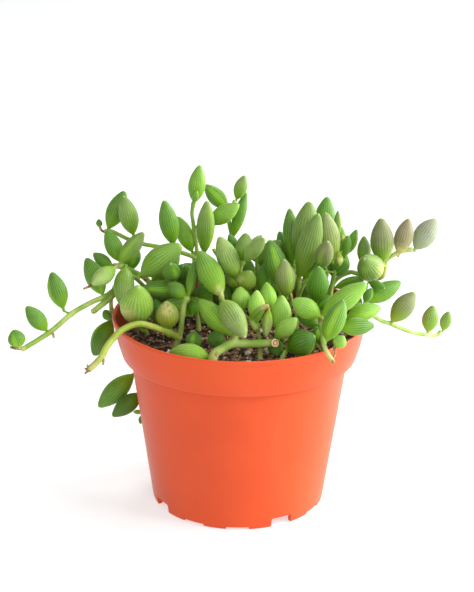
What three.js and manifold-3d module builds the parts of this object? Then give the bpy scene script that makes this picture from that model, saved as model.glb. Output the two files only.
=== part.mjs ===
// A string-of-watermelons plant in a moulded plastic nursery pot: the pot, its potting mix, and one solid
// for each leafy string. Millimetres, +Z up. The origin is on the pot's axis, on the surface it stands on.
import * as THREE from "three";
import { mergeVertices } from "three/addons/utils/BufferGeometryUtils.js";
import Module from "manifold-3d";

const wasm = await Module();
wasm.setup();

// Driving dimensions of the pot
const RIM_RADIUS = 57;
const POT_HEIGHT = 88;
const FOOT_RADIUS = 39.3;
const BODY_TOP_RADIUS = 49.2;
const BODY_TOP = 69.7;
const BAND_FOOT_RADIUS = 53;
const BAND_START = 1;
const BAND_BULGE = 0.4;
const BAND_RINGS = [0.08, 0.32, 0.62];
const STEP_HEIGHT = 0.6;
const STEP_DEPTH = 0.8;
const LEDGE_RISE = 1;
const LIP_HEIGHT = 2;
const LIP_DEPTH = 0.5;
const WALL = 1.3;
const POT_SIDES = 48;
const FOOT_WIDTH = 2.2;
const BASE_UNDERSIDE = 5;
const BASE_THICKNESS = 1.5;
const NOTCHES = 12;
const NOTCH_DEGREES = 15;
const LOW_NOTCH = 1.1;
const TALL_NOTCH = 4.2;
const DRAIN_RADIUS = 4;
const DRAIN_CIRCLE = 28;
const DRAIN_SIDES = 12;
const CUT_MARGIN = 3;

// Driving dimensions of the potting mix
const SOIL_LEVEL = 76.5;
const SOIL_RELIEF = 0.9;
const BROAD_WAVE = { x: 0.19, y: 0.23, fromX: 1.3, fromY: 0.4, share: 0.55 };
const FINE_WAVE = { along: [0.71, 0.53], across: [0.47, -0.66], share: 0.45 };
const SOIL_SIDES = 30;
const SOIL_RINGS = [0.92, 0.7, 0.46, 0.22];
const ROOT_DEPTH = 6;
const SPROUT = 1.4;
const GAP = 0.3;
const WALL_GAP = 0.4;
const HOLE_GAP = 0.4;

// Driving dimensions of the leaves and stems: rings are shares of a leaf's length
const LEAF_SIDES = 6;
const BROAD_RINGS = [0.12, 0.35, 0.64, 0.88];
const SLIM_RINGS = [0.18, 0.5, 0.84];
const BUD_RINGS = [0.32, 0.75];
const BROAD_WIDTH = 7;
const BUD_WIDTH = 4;
const ROOT_RING = 0.03;
const SHORT_STALK = 1.3;
const LONG_STALK = 2.5;
const FLATNESS = 0.86;
const SWELL_FROM = 0.05;
const SWELL_SKEW = 0.95;
const STALK_BLUNTNESS = 0.85;
const POINT_BLUNTNESS = 0.58;
const STALK_SHARE = 0.08;
const LEAST_STALK = 0.55;
const STEM_SIDES = 5;
const STEM_STEP = 9;
const STEM_END = 0.8;
const STEM_TAPER = 0.15;
const SHORT_EDGE = 0.005;
const SAME_CORNER = 1e-4;

// Room between one string and the next
const CLEARANCE = 0.35;
const BEAD_STEP = 0.9;
const BLADE_FROM = 0.25;
const LEAF_BEADS = [0.02, 0.1, 0.2, 0.32, 0.45, 0.58, 0.7, 0.82, 0.92, 1];
const TIP_TURNS = [0, 2, -2, 4, -4, 6, -6, 9, -9, 12, -12, 16, -16];
const ROOT_TURNS = [0, 1.5, -1.5, 3, -3, 5, -5];
const ROOT_TURN_COST = 2.5;
const SLIMMER = [1, 0.92, 0.84, 0.74];

// The view that places the leaves: how far off and how many degrees up the viewer stands, the picture's
// turn and scale, what the viewer looks at, and the middle of the picture
const VIEW = {
  away: 800,
  above: 20.35,
  tilt: 0.59,
  focal: 1787,
  aimX: -1.24,
  aimZ: 96.5,
  middle: [237, 296],
};

const radians = (degrees) => (degrees * Math.PI) / 180;
const vector = (x, y, z) => new THREE.Vector3(x, y, z);

const forward = vector(0, Math.cos(radians(VIEW.above)), -Math.sin(radians(VIEW.above)));
const upward = vector(0, Math.sin(radians(VIEW.above)), Math.cos(radians(VIEW.above)));
const eye = vector(VIEW.aimX, 0, VIEW.aimZ).addScaledVector(forward, -VIEW.away);
const tiltCos = Math.cos(radians(VIEW.tilt));
const tiltSin = Math.sin(radians(VIEW.tilt));

// The point that the picture shows at (across, down), `behind` millimetres behind the pot's axis
function seen(across, down, behind) {
  const turned = across - VIEW.middle[0];
  const raised = VIEW.middle[1] - down;
  const ray = forward.clone().multiplyScalar(VIEW.focal);
  ray.x += turned * tiltCos - raised * tiltSin;
  ray.addScaledVector(upward, turned * tiltSin + raised * tiltCos);
  return eye.clone().addScaledVector(ray, (behind - eye.y) / ray.y);
}

// Where the picture shows a point
function pictured(point) {
  const offset = point.clone().sub(eye);
  const scale = VIEW.focal / offset.dot(forward);
  const turned = offset.x * scale;
  const raised = offset.dot(upward) * scale;
  return [
    VIEW.middle[0] + turned * tiltCos + raised * tiltSin,
    VIEW.middle[1] + turned * tiltSin - raised * tiltCos,
  ];
}

// How many millimetres one picture unit is at a point
function unitAt(point) {
  return point.clone().sub(eye).dot(forward) / VIEW.focal;
}

// Strings as the picture shows them. A stem or branch point is across, down and behind; a leaf is its root's
// across and down, its tip's across and down, its width, and how far behind its root and its tip are.
const STRINGS = [
  {
    name: "left_trail_string",
    hole: [-38, 16],
    girth: 2.6,
    stem: [
      [140, 300, 14], [118, 290, 11], [106, 296, 5], [90, 303, -3], [72, 313.5, -12], [50, 332, -23],
      [21.5, 350, -33],
    ],
    branches: [
      { girth: 3.1, points: [[118, 290, 11], [105, 302, 3], [92, 312.5, -4]] },
      { girth: 1.3, points: [[24, 348, -32], [16, 348.5, -33], [10, 347, -33]] },
      { girth: 1.2, points: [[52, 330, -22], [53, 334, -22], [54, 338, -22]] },
    ],
    leaves: [
      [20, 349, 13.5, 329.5, 18, -33, -32],
      [48, 332, 26, 306, 17.5, -23, -25],
      [64, 311, 51.5, 271.5, 19.5, -10, -8],
      [104, 297, 86, 257.5, 20, 4, 18],
    ],
  },
  {
    name: "left_low_string",
    hole: [-31, 26],
    girth: 2.6,
    stem: [[156, 292, 24], [146, 279, 22], [130, 270, 20], [118, 266, 17], [112, 267, 15]],
    branches: [{ girth: 1.3, points: [[95, 282, 0], [90, 286, -2], [83, 289, -3]] }],
    leaves: [
      [117, 266, 92, 284.5, 17.5, 12, -2],
      [118, 265, 144, 232, 17, 13, 10],
      [122, 264, 106, 230, 17.5, 18, 22],
      [114, 270, 93, 253, 13, 18, 21],
      [126, 265, 122, 307, 21, 17, 1],
      [129, 273, 133, 243, 20, 22, 27],
      [138.5, 277, 181.5, 244.5, 28, 19, 14],
      [150, 283, 179.5, 255.5, 20, 24, 28],
      [148, 284, 175, 304, 15, 18, 9],
    ],
  },
  {
    name: "left_round_string",
    hole: [-42, 2],
    girth: 2.2,
    stem: [[140, 329, -2], [137, 325, -4]],
    leaves: [[135, 326, 138.5, 286, 34, -4, 0]],
  },
  {
    name: "upper_left_string",
    hole: [-17, 15],
    girth: 2.2,
    stem: [
      [200, 285, 16], [200, 262, 17], [180, 252, 20], [160, 247, 23], [143, 244, 26], [128, 239, 29],
      [111, 231, 31], [104, 232, 31],
    ],
    branches: [{ girth: 1.2, points: [[105, 232, 31], [101, 230, 31], [99.5, 225, 31]] }],
    leaves: [
      [107, 231.5, 125, 190.5, 20, 32, 34],
      [134, 237, 123.5, 195.5, 19.5, 28, 27],
      [100, 228, 98.5, 219, 6.5, 31, 31],
      [174, 247, 164, 199.5, 19.5, 19, 15],
    ],
  },
  {
    name: "tall_left_string",
    hole: [-17, 28],
    girth: 2,
    stem: [[198, 275, 29], [197, 252, 29], [195, 235, 29], [193, 222, 29], [192, 212, 29], [194, 201, 29]],
    leaves: [
      [194, 205, 200, 164.5, 17.5, 29, 28],
      [194, 203, 197, 191, 6.5, 26, 25],
      [193, 254, 177.5, 216, 17, 29, 32],
      [204, 257, 207, 200, 18.5, 26, 22],
      [207, 225, 239.5, 204, 18.5, 30, 29],
    ],
  },
  {
    name: "centre_fork_string",
    hole: [-8, -12],
    girth: 2.4,
    stem: [[219, 325, -12], [222, 299, -16], [220, 292, -15]],
    leaves: [
      [223, 299, 199, 250.5, 25, -16, 3],
      [222, 299, 245.5, 338, 24, -17, -46],
      [226, 341, 207, 338, 18, -15, -16],
    ],
  },
  {
    name: "top_middle_string",
    hole: [-3, 36],
    girth: 2.2,
    stem: [[235, 268, 36], [233, 242, 36], [229, 222, 36], [230, 214, 36], [233, 207, 36], [235, 200, 36]],
    leaves: [
      [236, 201, 245, 175, 13.5, 36, 36],
      [231.5, 241, 246.5, 191.5, 12.5, 35, 33],
      [229, 210, 204.5, 184.5, 17, 37, 40],
    ],
  },
  {
    name: "centre_string",
    hole: [2, 3],
    girth: 1.8,
    stem: [[240, 310, 3], [240, 285, 4], [241, 270, 5], [243, 260, 6]],
    leaves: [
      [243, 262, 246, 232.5, 18, 7, 8],
      [244, 261, 265, 238, 15, 6, 0],
      [248, 252, 262, 235, 10, 11, 13],
      [237, 281, 219, 236, 22, 3, -1],
      [237, 252, 229, 234, 10, 12, 14],
      [242, 290, 251, 271, 20, -1, -5],
      [240, 287.5, 228, 270, 18, 1.4, 11],
    ],
  },
  {
    name: "front_cut_string",
    hole: [-12, -43],
    girth: 4.2,
    stem: [[214, 355, -41], [222, 349, -38], [232, 344, -34], [250, 344, -32], [277, 342.5, -31]],
    branches: [{ girth: 3.5, points: [[231, 345, -34], [234, 340, -32], [236, 335, -30]] }],
    leaves: [
      [233, 337, 199, 299.5, 22, -29, -20],
      [212, 357, 170, 351, 21, -40, -34],
    ],
  },
  {
    name: "front_sprout_string",
    hole: [-20, -29],
    girth: 1.8,
    stem: [[191, 356, -28], [192, 350, -27]],
    leaves: [[192, 351, 195, 331, 16, -26, -24]],
  },
  {
    name: "front_middle_string",
    hole: [9, -26],
    girth: 2.1,
    stem: [[260, 345, -25.5], [259, 337, -25], [257, 324, -24]],
    branches: [
      {
        girth: 2.6,
        points: [[257, 330, -24.5], [251, 320, -25], [256, 313, -27], [263, 307.5, -29], [269, 307, -30]],
      },
      { girth: 1.5, points: [[258, 338, -25], [254, 336, -26], [251, 332, -27]] },
    ],
    leaves: [
      [242, 312, 240, 286.5, 19, -15, -13],
      [256, 325, 257, 290, 17.5, -20, -20],
      [270, 316, 266.5, 282, 18, -16, -13],
      [269, 308, 265.5, 337, 10.5, -30, -36],
    ],
  },
  {
    name: "front_right_string",
    hole: [19, -20],
    girth: 2.4,
    stem: [[278, 348, -20.5], [277, 337, -22], [278, 330, -23]],
    leaves: [
      [280, 336, 282, 295, 21, -23, -22],
      [275, 338, 297, 318, 17, -27, -35],
      [273, 338, 278, 356, 18, -20, -24],
    ],
  },
  {
    name: "right_bright_string",
    hole: [20, -3],
    girth: 2.4,
    stem: [[284, 320, -3], [284, 303, -2], [283, 293, -1]],
    leaves: [
      [283, 291, 269, 239, 23, 2, 7],
      [287, 299, 284, 259, 20, -4, -9],
      [264, 299, 266, 261, 18, 2, 4],
    ],
  },
  {
    name: "right_tall_string",
    hole: [26, 10],
    girth: 2.4,
    stem: [[297, 315, 10], [298, 300, 10], [299, 285, 11], [299, 270, 14]],
    branches: [{ girth: 1.6, points: [[298, 299, 10], [303, 287, 8], [308, 279, 7]] }],
    leaves: [
      [293, 266, 289.5, 207.5, 17, 19, 27],
      [291, 262, 279, 231, 15, 22, 27],
      [302, 267, 309.5, 200.5, 28, 17, 20],
      [298, 282, 319, 213, 24, 8, 5],
      [303, 282, 318, 247, 16, 13, 16],
    ],
  },
  {
    name: "right_purple_string",
    hole: [38, 12],
    girth: 2.2,
    stem: [[328, 315, 12], [331, 290, 12], [335, 270, 13], [338, 256, 15], [341, 247, 17], [343, 236, 19]],
    leaves: [
      [333, 264, 325.5, 212, 22, 13, 13],
      [322, 243, 327.5, 196, 21, 21, 26],
      [337, 242, 338, 210, 8, 19, 21],
      [343, 247, 341, 226, 8, 19, 21],
      [320, 270, 328, 241, 19, 6, 3],
      [346, 251, 331, 276, 24, 17, 15],
      [346, 256, 357, 229, 11, 21, 23],
      [345, 257, 348, 235, 10, 17, 17],
      [343, 246, 343, 235, 5.5, 16, 16],
      [339, 252, 339.5, 266, 8, 9, 3],
    ],
  },
  {
    name: "right_dark_string",
    hole: [34, -4],
    girth: 2.2,
    stem: [[316, 325, -3], [316, 306, -2]],
    leaves: [
      [316, 304, 319, 266, 23, -2, -4],
      [317, 308, 332, 296, 13, -2, 3],
    ],
  },
  {
    name: "right_front_string",
    hole: [37, -22],
    girth: 2.3,
    stem: [
      [324, 342, -23], [322, 326, -27], [321.5, 318, -31], [322, 330, -38], [323, 341, -43], [325, 348, -46],
      [328, 354, -48], [334, 363, -49],
    ],
    branches: [{ girth: 1.2, points: [[334, 346, -46], [335, 353, -47.5], [333, 359, -48]] }],
    leaves: [
      [322, 318, 292, 300, 21, -31, -33],
      [319, 318, 367.5, 282.5, 22, -30, -25],
      [324, 344, 344, 299.5, 22, -42, -37],
      [335, 348, 344, 336, 14, -45, -44],
      [337, 328, 375, 325.5, 18.5, -35, -31],
      [318, 325, 297, 312, 16, -24, -22],
      [316, 344, 318, 327, 14, -15, -12],
    ],
  },
  {
    name: "low_right_string",
    hole: [18, -32],
    girth: 2.2,
    stem: [[283, 356, -31], [286, 351, -29]],
    leaves: [[286, 350, 315.5, 336, 29, -28, -29]],
  },
  {
    name: "right_upper_string",
    hole: [37, 25],
    girth: 2.3,
    stem: [
      [322, 305, 25], [335, 281, 24], [349, 272.5, 22], [357, 273.5, 21], [372, 277, 20], [381, 278, 19],
      [385, 270, 19], [386, 261, 19], [392, 256, 19], [400, 252, 19], [413, 249, 19],
    ],
    leaves: [
      [364, 268, 364, 235.5, 14, 22, 23],
      [383, 266, 381, 217.5, 24, 17, 15],
      [375.5, 276.5, 364, 258, 28, 16, 3],
      [398, 257, 409, 218, 19, 19, 19],
      [413.5, 251.5, 436, 218.5, 22.5, 19, 18],
      [333, 288, 366, 278, 12, 20, 14],
    ],
  },
  {
    name: "right_lower_string",
    hole: [42, -6],
    girth: 2,
    stem: [
      [338, 325, -6], [345, 310, -7], [352, 307, -8], [360, 309, -8], [370, 314, -6], [382, 321, 0],
      [390, 323.5, 4], [400, 328, 10], [415, 333, 18], [430, 335, 27], [437, 335, 30], [441, 331, 32],
    ],
    leaves: [
      [390, 324, 415, 292, 21, 3, 6],
      [427.5, 334, 433, 305, 17, 25, 27],
      [442.5, 332, 449, 311, 12, 32, 33],
      [364, 303, 401.5, 281.5, 18.5, -3, 4],
      [368, 282, 385, 288.5, 10, 0, 2],
      [364, 303, 372, 288, 10, -5, -3],
      [344, 318, 381.5, 307, 18, -18, -14],
      [349, 310, 361, 298, 14, -8, -4],
    ],
  },
  {
    name: "front_left_string",
    hole: [-28, -11],
    girth: 2.7,
    stem: [[180, 335, -11], [182, 318, -9.5], [184, 305, -8], [188, 296, -7]],
    branches: [
      {
        girth: 3.2,
        points: [
          [180, 338, -11], [165, 331, -14], [150, 326, -17], [140, 324, -20], [130, 326, -24],
          [120, 331.5, -28], [112, 340, -32], [106, 348, -34], [102, 356, -35], [95, 364, -36],
          [87, 371, -37],
        ],
      },
      { girth: 1.2, points: [[103, 355, -35], [103.5, 360, -35.5], [103, 365, -36]] },
    ],
    leaves: [
      [169, 331, 166, 301, 24, -13, -13],
      [187, 299, 168, 283, 16, -7, -4],
      [163, 324, 155, 299, 13, -4, 1],
      [192, 316, 197, 297, 15, -2, 4],
      [212, 301, 197, 287, 16, 4, 9],
      [188, 299, 195, 260, 10, -7, 1],
    ],
  },
  {
    name: "hanging_string",
    hole: [-34, 32],
    girth: 2.1,
    stem: [
      [146, 288, 30], [131, 276, 29], [117, 283, 27], [111, 300, 25], [114, 320, 25], [122, 340, 26],
      [134, 364, 26], [142, 391, 22], [143, 413, 18],
    ],
    leaves: [
      [112, 312, 103, 318, 12, 21, 18],
      [112.5, 318, 93.5, 356, 22, 22, 20],
      [136, 372, 98, 407.5, 21, 25, 21],
      [143, 392, 112, 416.5, 18, 18, 16],
      [143, 412, 133, 412, 5, 18, 17],
      [143, 414, 140, 424, 6, 18, 17],
    ],
  },
];

// Strings on the far side: how many, the angles that they take, and the draws' seed
const FAR_STRINGS = 12;
const FAR_FROM = 20;
const FAR_TO = 160;
const FAR_SWAY = 12;
const FAR_TURN = 0.15;
const FAR_GIRTH = 2.1;
const FAR_SEED = 70;
const FAR_TRIES = 60;

// A far string leans outwards as it rises: its foot's radius, then how much more it has at each height
const FAR_FOOT = [18, 43];
const FAR_RISE = [[1, 84], [4, 92]];
const FAR_REACH = [8, 12];
const FAR_HEIGHT = [96, 106];

// Leaves on the far side: the gap from one to the next, and how far a leaf leans along its stem and upwards
const FIRST_LEAF = 7;
const LEAF_SPACING = 6.6;
const LEAF_LENGTH = [14, 20];
const LEAF_SLIMNESS = [0.42, 0.52];
const LEAF_LEAN = [0.15, 0.65];
const LEAF_LIFT = 0.35;
const LATE_SLIMMER = 0.8;

// How low the background shows between the pot's sides, so that far leaves stay behind the near ones
const SKYLINE = [
  [131, 600], [132, 250], [150, 250], [158, 262], [218, 262], [222, 242], [262, 244], [276, 240], [290, 215],
  [322, 212], [338, 232], [345, 275], [346, 600],
];

// A repeatable run of draws between 0 and 1
function dice(seed) {
  let state = seed;
  return () => {
    state = (state * 1664525 + 1013904223) % 4294967296;
    return state / 4294967296;
  };
}

// The value at a share of the way between two
function drawn([low, high], share) {
  return low + (high - low) * share;
}

function skylineAt(across) {
  const last = SKYLINE.length - 1;
  for (let k = 0; k < last && across > SKYLINE[0][0]; k++) {
    const [[left, before], [right, after]] = [SKYLINE[k], SKYLINE[k + 1]];
    if (across <= right) return drawn([before, after], (across - left) / (right - left));
  }
  return SKYLINE[last][1];
}

// A closed geometry through rings of points, each end closed by a fan to its own point
function loft(first, rings, last) {
  const sides = rings[0].length;
  const points = [first, ...rings.flat(), last];
  const end = points.length - 1;
  const top = 1 + (rings.length - 1) * sides;
  const faces = [];
  for (let side = 0; side < sides; side++) {
    const next = (side + 1) % sides;
    faces.push(0, 1 + next, 1 + side);
    for (let low = 1; low < top; low += sides) {
      const high = low + sides;
      faces.push(low + side, low + next, high + next, low + side, high + next, high + side);
    }
    faces.push(end, top + side, top + next);
  }
  const geometry = new THREE.BufferGeometry().setFromPoints(points);
  geometry.setIndex(faces);
  return geometry;
}

function ringAround(centre, side, normal, wide, thick, sides) {
  return Array.from({ length: sides }, (_, k) => {
    const angle = (2 * Math.PI * k) / sides;
    const point = centre.clone().addScaledVector(side, wide * Math.cos(angle));
    return point.addScaledVector(normal, thick * Math.sin(angle));
  });
}

function solidOf(geometry) {
  const bare = geometry.clone();
  bare.deleteAttribute("normal");
  bare.deleteAttribute("uv");
  const merged = mergeVertices(bare, SAME_CORNER);
  const vertProperties = new Float32Array(merged.attributes.position.array);
  const triVerts = new Uint32Array(merged.index.array);
  return new wasm.Manifold(new wasm.Mesh({ numProp: 3, vertProperties, triVerts }));
}

// Joining leaves corners that almost meet: the ends of such an edge are drawn together
function withoutShortEdges(places, indices) {
  let faces = Array.from({ length: indices.length / 3 }, (_, k) => indices.slice(3 * k, 3 * k + 3));
  const far = (a, b) => Math.hypot(...[0, 1, 2].map((k) => places[3 * a + k] - places[3 * b + k]));
  const around = (corner) => new Set(faces.filter((face) => face.includes(corner)).flat());
  const staysClosed = (a, b) => [...around(a)].filter((corner) => around(b).has(corner)).length === 4;
  const short = ([a, b]) => far(a, b) < SHORT_EDGE && staysClosed(a, b);
  for (;;) {
    const edge = faces.flatMap(([a, b, c]) => [[a, b], [b, c], [c, a]]).find(short);
    if (!edge) return faces.flat();
    faces = faces.map((face) => face.map((corner) => (corner === edge[1] ? edge[0] : corner)));
    faces = faces.filter(([a, b, c]) => a !== b && b !== c && c !== a);
  }
}

// The largest shell of a joined solid: a hollow that joining sealed is filled, and a loose scrap is left out
function geometryOf(solid) {
  const { numVert, vertProperties, triVerts } = solid.getMesh();
  const link = Array.from({ length: numVert }, (_, vertex) => vertex);
  const shellOf = (vertex) => {
    while (link[vertex] !== vertex) vertex = link[vertex] = link[link[vertex]];
    return vertex;
  };
  for (let k = 0; k < triVerts.length; k += 3) {
    link[shellOf(triVerts[k + 1])] = shellOf(triVerts[k]);
    link[shellOf(triVerts[k + 2])] = shellOf(triVerts[k]);
  }
  const shells = new Map();
  for (let k = 0; k < triVerts.length; k += 3) {
    const shell = shellOf(triVerts[k]);
    shells.set(shell, [...(shells.get(shell) ?? []), ...triVerts.subarray(k, k + 3)]);
  }
  const faces = [...shells.values()].sort((one, other) => other.length - one.length)[0];
  const loose = new THREE.BufferGeometry();
  loose.setAttribute("position", new THREE.BufferAttribute(new Float32Array(vertProperties), 3));
  loose.setIndex(withoutShortEdges(vertProperties, faces));
  const geometry = mergeVertices(loose.toNonIndexed(), SAME_CORNER);
  geometry.computeVertexNormals();
  return geometry;
}

// Two directions square to a heading, the first as near as can be to the one given
function squareTo(heading, near = vector(1, 0, 0)) {
  const side = near.clone().addScaledVector(heading, -near.dot(heading)).normalize();
  return { side, normal: heading.clone().cross(side) };
}

// How plump a leaf is at a share of its length: nothing at its stalk and its point, 1 at its widest
function plumpness(share) {
  const along = Math.max(0, (share - SWELL_FROM) / (1 - SWELL_FROM));
  const swell = Math.max(0, Math.sin(Math.PI * Math.pow(along, SWELL_SKEW)));
  return Math.pow(swell, drawn([STALK_BLUNTNESS, POINT_BLUNTNESS], along));
}

function stalkRadius(leaf) {
  return Math.max(LEAST_STALK, leaf.wide * STALK_SHARE);
}

// A leaf's half-width at a share of its length, never thinner than its stalk
function leafRadius(leaf, share) {
  return Math.max(stalkRadius(leaf), (leaf.wide / 2) * plumpness(share));
}

function leafFrame(leaf) {
  const axis = leaf.tip.clone().sub(leaf.root);
  const side = axis.clone().cross(forward).normalize();
  return { side, normal: axis.clone().cross(side).normalize() };
}

// A leaf swells from its stalk, which starts inside the stem, and ends in a point
function leafSolid(leaf) {
  const { side, normal } = leafFrame(leaf);
  const gap = leaf.joint.distanceTo(leaf.root);
  const half = stalkRadius(leaf);
  const slender = leaf.wide < BUD_WIDTH ? BUD_RINGS : SLIM_RINGS;
  const shares = leaf.wide > BROAD_WIDTH && !leaf.far ? BROAD_RINGS : slender;
  const rings = (gap > LONG_STALK ? [ROOT_RING, ...shares] : shares).map((share) => {
    const wide = leafRadius(leaf, share);
    const middle = leaf.root.clone().lerp(leaf.tip, share);
    return ringAround(middle, side, normal, wide, wide * FLATNESS, LEAF_SIDES);
  });
  if (gap > SHORT_STALK) {
    const start = squareTo(leaf.root.clone().sub(leaf.joint).normalize(), side);
    rings.unshift(ringAround(leaf.joint, start.side, start.normal, half, half, LEAF_SIDES));
  }
  return solidOf(loft(leaf.joint, rings, leaf.tip));
}

// A stem tapers from its foot to its end
function stemRadius(stem, share) {
  return (stem.girth / 2) * (1 - STEM_TAPER * share);
}

// A stem with its middle line in straight steps
function stemAlong(points, girth, rooted) {
  const curve = new THREE.CatmullRomCurve3(points, false, "catmullrom", 0.5);
  const steps = Math.max(2, Math.round(curve.getLength() / STEM_STEP));
  return { girth, rooted, curve, spine: curve.getSpacedPoints(steps) };
}

function stemSolid(stem) {
  const steps = stem.spine.length - 1;
  const [foot, end] = [stem.spine[0], stem.spine[steps]];
  const depth = vector(foot.x, foot.y, SOIL_LEVEL - ROOT_DEPTH);
  let side = stem.rooted ? vector(1, 0, 0) : squareTo(stem.curve.getTangentAt(0), upward).side;
  const rings = [];
  const start = stem.girth / 2;
  if (stem.rooted) rings.push(ringAround(depth, side, vector(0, 1, 0), start, start, STEM_SIDES));
  for (let step = 0; step <= steps; step++) {
    const share = step / steps;
    const square = squareTo(stem.curve.getTangentAt(share), side);
    side = square.side;
    const half = stemRadius(stem, share);
    rings.push(ringAround(stem.spine[step], side, square.normal, half, half, STEM_SIDES));
  }
  return solidOf(loft(stem.rooted ? depth : foot, rings, end));
}

// The stems of a string: the one that is rooted in the mix, and those that fork from it
function stemsOf(string) {
  const sprout = vector(string.hole[0], string.hole[1], SOIL_LEVEL + SPROUT);
  const points = string.points ?? string.stem.map((place) => seen(...place));
  const forks = (string.branches ?? []).map((branch) =>
    stemAlong(branch.points.map((place) => seen(...place)), branch.girth, false),
  );
  return [stemAlong([sprout, ...points], string.girth, true), ...forks];
}

// The point on the middle lines of a string's stems nearest to a place, and short of their ends
function jointFor(stems, place) {
  let best = { far: Infinity };
  for (const { spine } of stems)
    for (let k = 0; k + 1 < spine.length; k++) {
      const line = new THREE.Line3(spine[k], spine[k + 1]);
      const last = k + 2 === spine.length ? 1 - STEM_END / line.distance() : 1;
      const point = line.at(Math.min(last, line.closestPointToPointParameter(place, true)), vector(0, 0, 0));
      const far = point.distanceTo(place);
      if (far < best.far) best = { far, point };
    }
  return best.point;
}

// Beads stand for a piece where it is tested for room: round on a stem, flattened on a leaf
function leafBeads(leaf) {
  const { normal } = leafFrame(leaf);
  const flat = 1 - FLATNESS * FLATNESS;
  const beads = LEAF_BEADS.map((share) => {
    const at = leaf.root.clone().lerp(leaf.tip, share);
    return { at, radius: leafRadius(leaf, share), normal, flat, blade: share > BLADE_FROM };
  });
  const far = leaf.joint.distanceTo(leaf.root);
  const radius = stalkRadius(leaf);
  for (let along = BEAD_STEP; along < far; along += BEAD_STEP)
    beads.push({ at: leaf.root.clone().lerp(leaf.joint, along / far), radius, normal, flat: 0 });
  return beads;
}

function stemBeads(stem) {
  const steps = stem.spine.length - 1;
  const beads = [];
  for (let step = 0; step < steps; step++) {
    const count = Math.ceil(stem.spine[step].distanceTo(stem.spine[step + 1]) / BEAD_STEP);
    for (let k = 0; k < count + 1; k++) {
      const at = stem.spine[step].clone().lerp(stem.spine[step + 1], k / count);
      beads.push({ at, radius: stemRadius(stem, (step + k / count) / steps), normal: upward, flat: 0 });
    }
  }
  return beads;
}

function reach(bead, heading) {
  const across = bead.normal.dot(heading);
  return bead.radius * Math.sqrt(1 - bead.flat * across * across);
}

function touch(one, other) {
  const heading = other.at.clone().sub(one.at);
  const far = heading.length();
  if (far > one.radius + other.radius + CLEARANCE) return false;
  heading.divideScalar(far || 1);
  return far < reach(one, heading) + reach(other, heading) + CLEARANCE;
}

// The middle of the pot's wall, from the rim to the foot, as radius and height
const WALL_LINE = [
  [RIM_RADIUS - WALL / 2, POT_HEIGHT - WALL / 2],
  [RIM_RADIUS - WALL / 2, POT_HEIGHT - LIP_HEIGHT],
  [BAND_FOOT_RADIUS - WALL / 2 + BAND_BULGE, BODY_TOP + 3 * BAND_START],
  [BODY_TOP_RADIUS - WALL / 2, BODY_TOP],
  [FOOT_RADIUS - WALL / 2, 0],
].map(([radius, height]) => new THREE.Vector2(radius, height));

function wallDistance(point) {
  const place = new THREE.Vector2(Math.hypot(point.x, point.y), point.z);
  let nearest = Infinity;
  for (let k = 0; k + 1 < WALL_LINE.length; k++) {
    const run = WALL_LINE[k + 1].clone().sub(WALL_LINE[k]);
    const share = place.clone().sub(WALL_LINE[k]).dot(run) / run.lengthSq();
    const foot = WALL_LINE[k].clone().addScaledVector(run, Math.min(1, Math.max(0, share)));
    nearest = Math.min(nearest, place.distanceTo(foot));
  }
  return nearest;
}

// A bead fits where it clears the pot's wall, the potting mix and the ground
function fits(bead) {
  if (wallDistance(bead.at) < bead.radius + WALL / 2 + CLEARANCE) return false;
  const inside = Math.hypot(bead.at.x, bead.at.y) < bodyRadius(bead.at.z);
  return bead.at.z - bead.radius > (inside ? SOIL_LEVEL + SOIL_RELIEF : 0) + CLEARANCE;
}

const settled = [];

// A piece is apart where it clears the other strings and, if it is choosy, the leaves of its own
function isApart(owner, beads, choosy = false) {
  return beads.every((bead) =>
    settled.every((other) => {
      if (other.owner === owner && !(choosy && bead.blade && other.blade)) return true;
      return !touch(bead, other);
    }),
  );
}

function settle(owner, beads) {
  for (const bead of beads) settled.push({ ...bead, owner });
}

// The ways to turn a leaf towards or away from the viewer, or to slim it, the least change first
const TURNS = SLIMMER.flatMap((slim) => {
  const pairs = TIP_TURNS.flatMap((tip) => ROOT_TURNS.map((root) => ({ tip, root, slim })));
  pairs.sort((one, other) => turnCost(one) - turnCost(other));
  return [...pairs.map((pair) => ({ ...pair, choosy: true })), ...pairs];
});

function turnCost(turn) {
  return Math.abs(turn.tip) + ROOT_TURN_COST * Math.abs(turn.root);
}

// A leaf of the picture takes the first turn that has room, and keeps its place in the picture
function placeLeaf(string, stems, [rootAcross, rootDown, tipAcross, tipDown, wide, rootBehind, tipBehind]) {
  for (const turn of TURNS) {
    const leaf = {
      root: seen(rootAcross, rootDown, rootBehind + turn.root),
      tip: seen(tipAcross, tipDown, tipBehind + turn.tip),
    };
    leaf.wide = wide * turn.slim * unitAt(leaf.root.clone().lerp(leaf.tip, 0.5));
    leaf.joint = jointFor(stems, leaf.root);
    const beads = leafBeads(leaf);
    if (!beads.every(fits) || !isApart(string.name, beads, turn.choosy)) continue;
    settle(string.name, beads);
    return [leaf];
  }
  return [];
}

// A far string's foot and stem
function farStem(index, roll) {
  const share = (index + 0.5) / FAR_STRINGS;
  const angle = radians(drawn([FAR_FROM, FAR_TO], share) + drawn([-FAR_SWAY, FAR_SWAY], roll()) / 2);
  const turn = drawn([-FAR_TURN, FAR_TURN], roll());
  const foot = drawn(FAR_FOOT, roll());
  const profile = [...FAR_RISE, [drawn(FAR_REACH, roll()), drawn(FAR_HEIGHT, roll())]];
  const at = (more, height, twist) =>
    vector((foot + more) * Math.cos(angle + twist), (foot + more) * Math.sin(angle + twist), height);
  const sprout = at(0, 0, 0);
  const points = profile.map(([more, height], k) => at(more, height, turn * k));
  return { hole: [sprout.x, sprout.y], points, girth: FAR_GIRTH };
}

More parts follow.
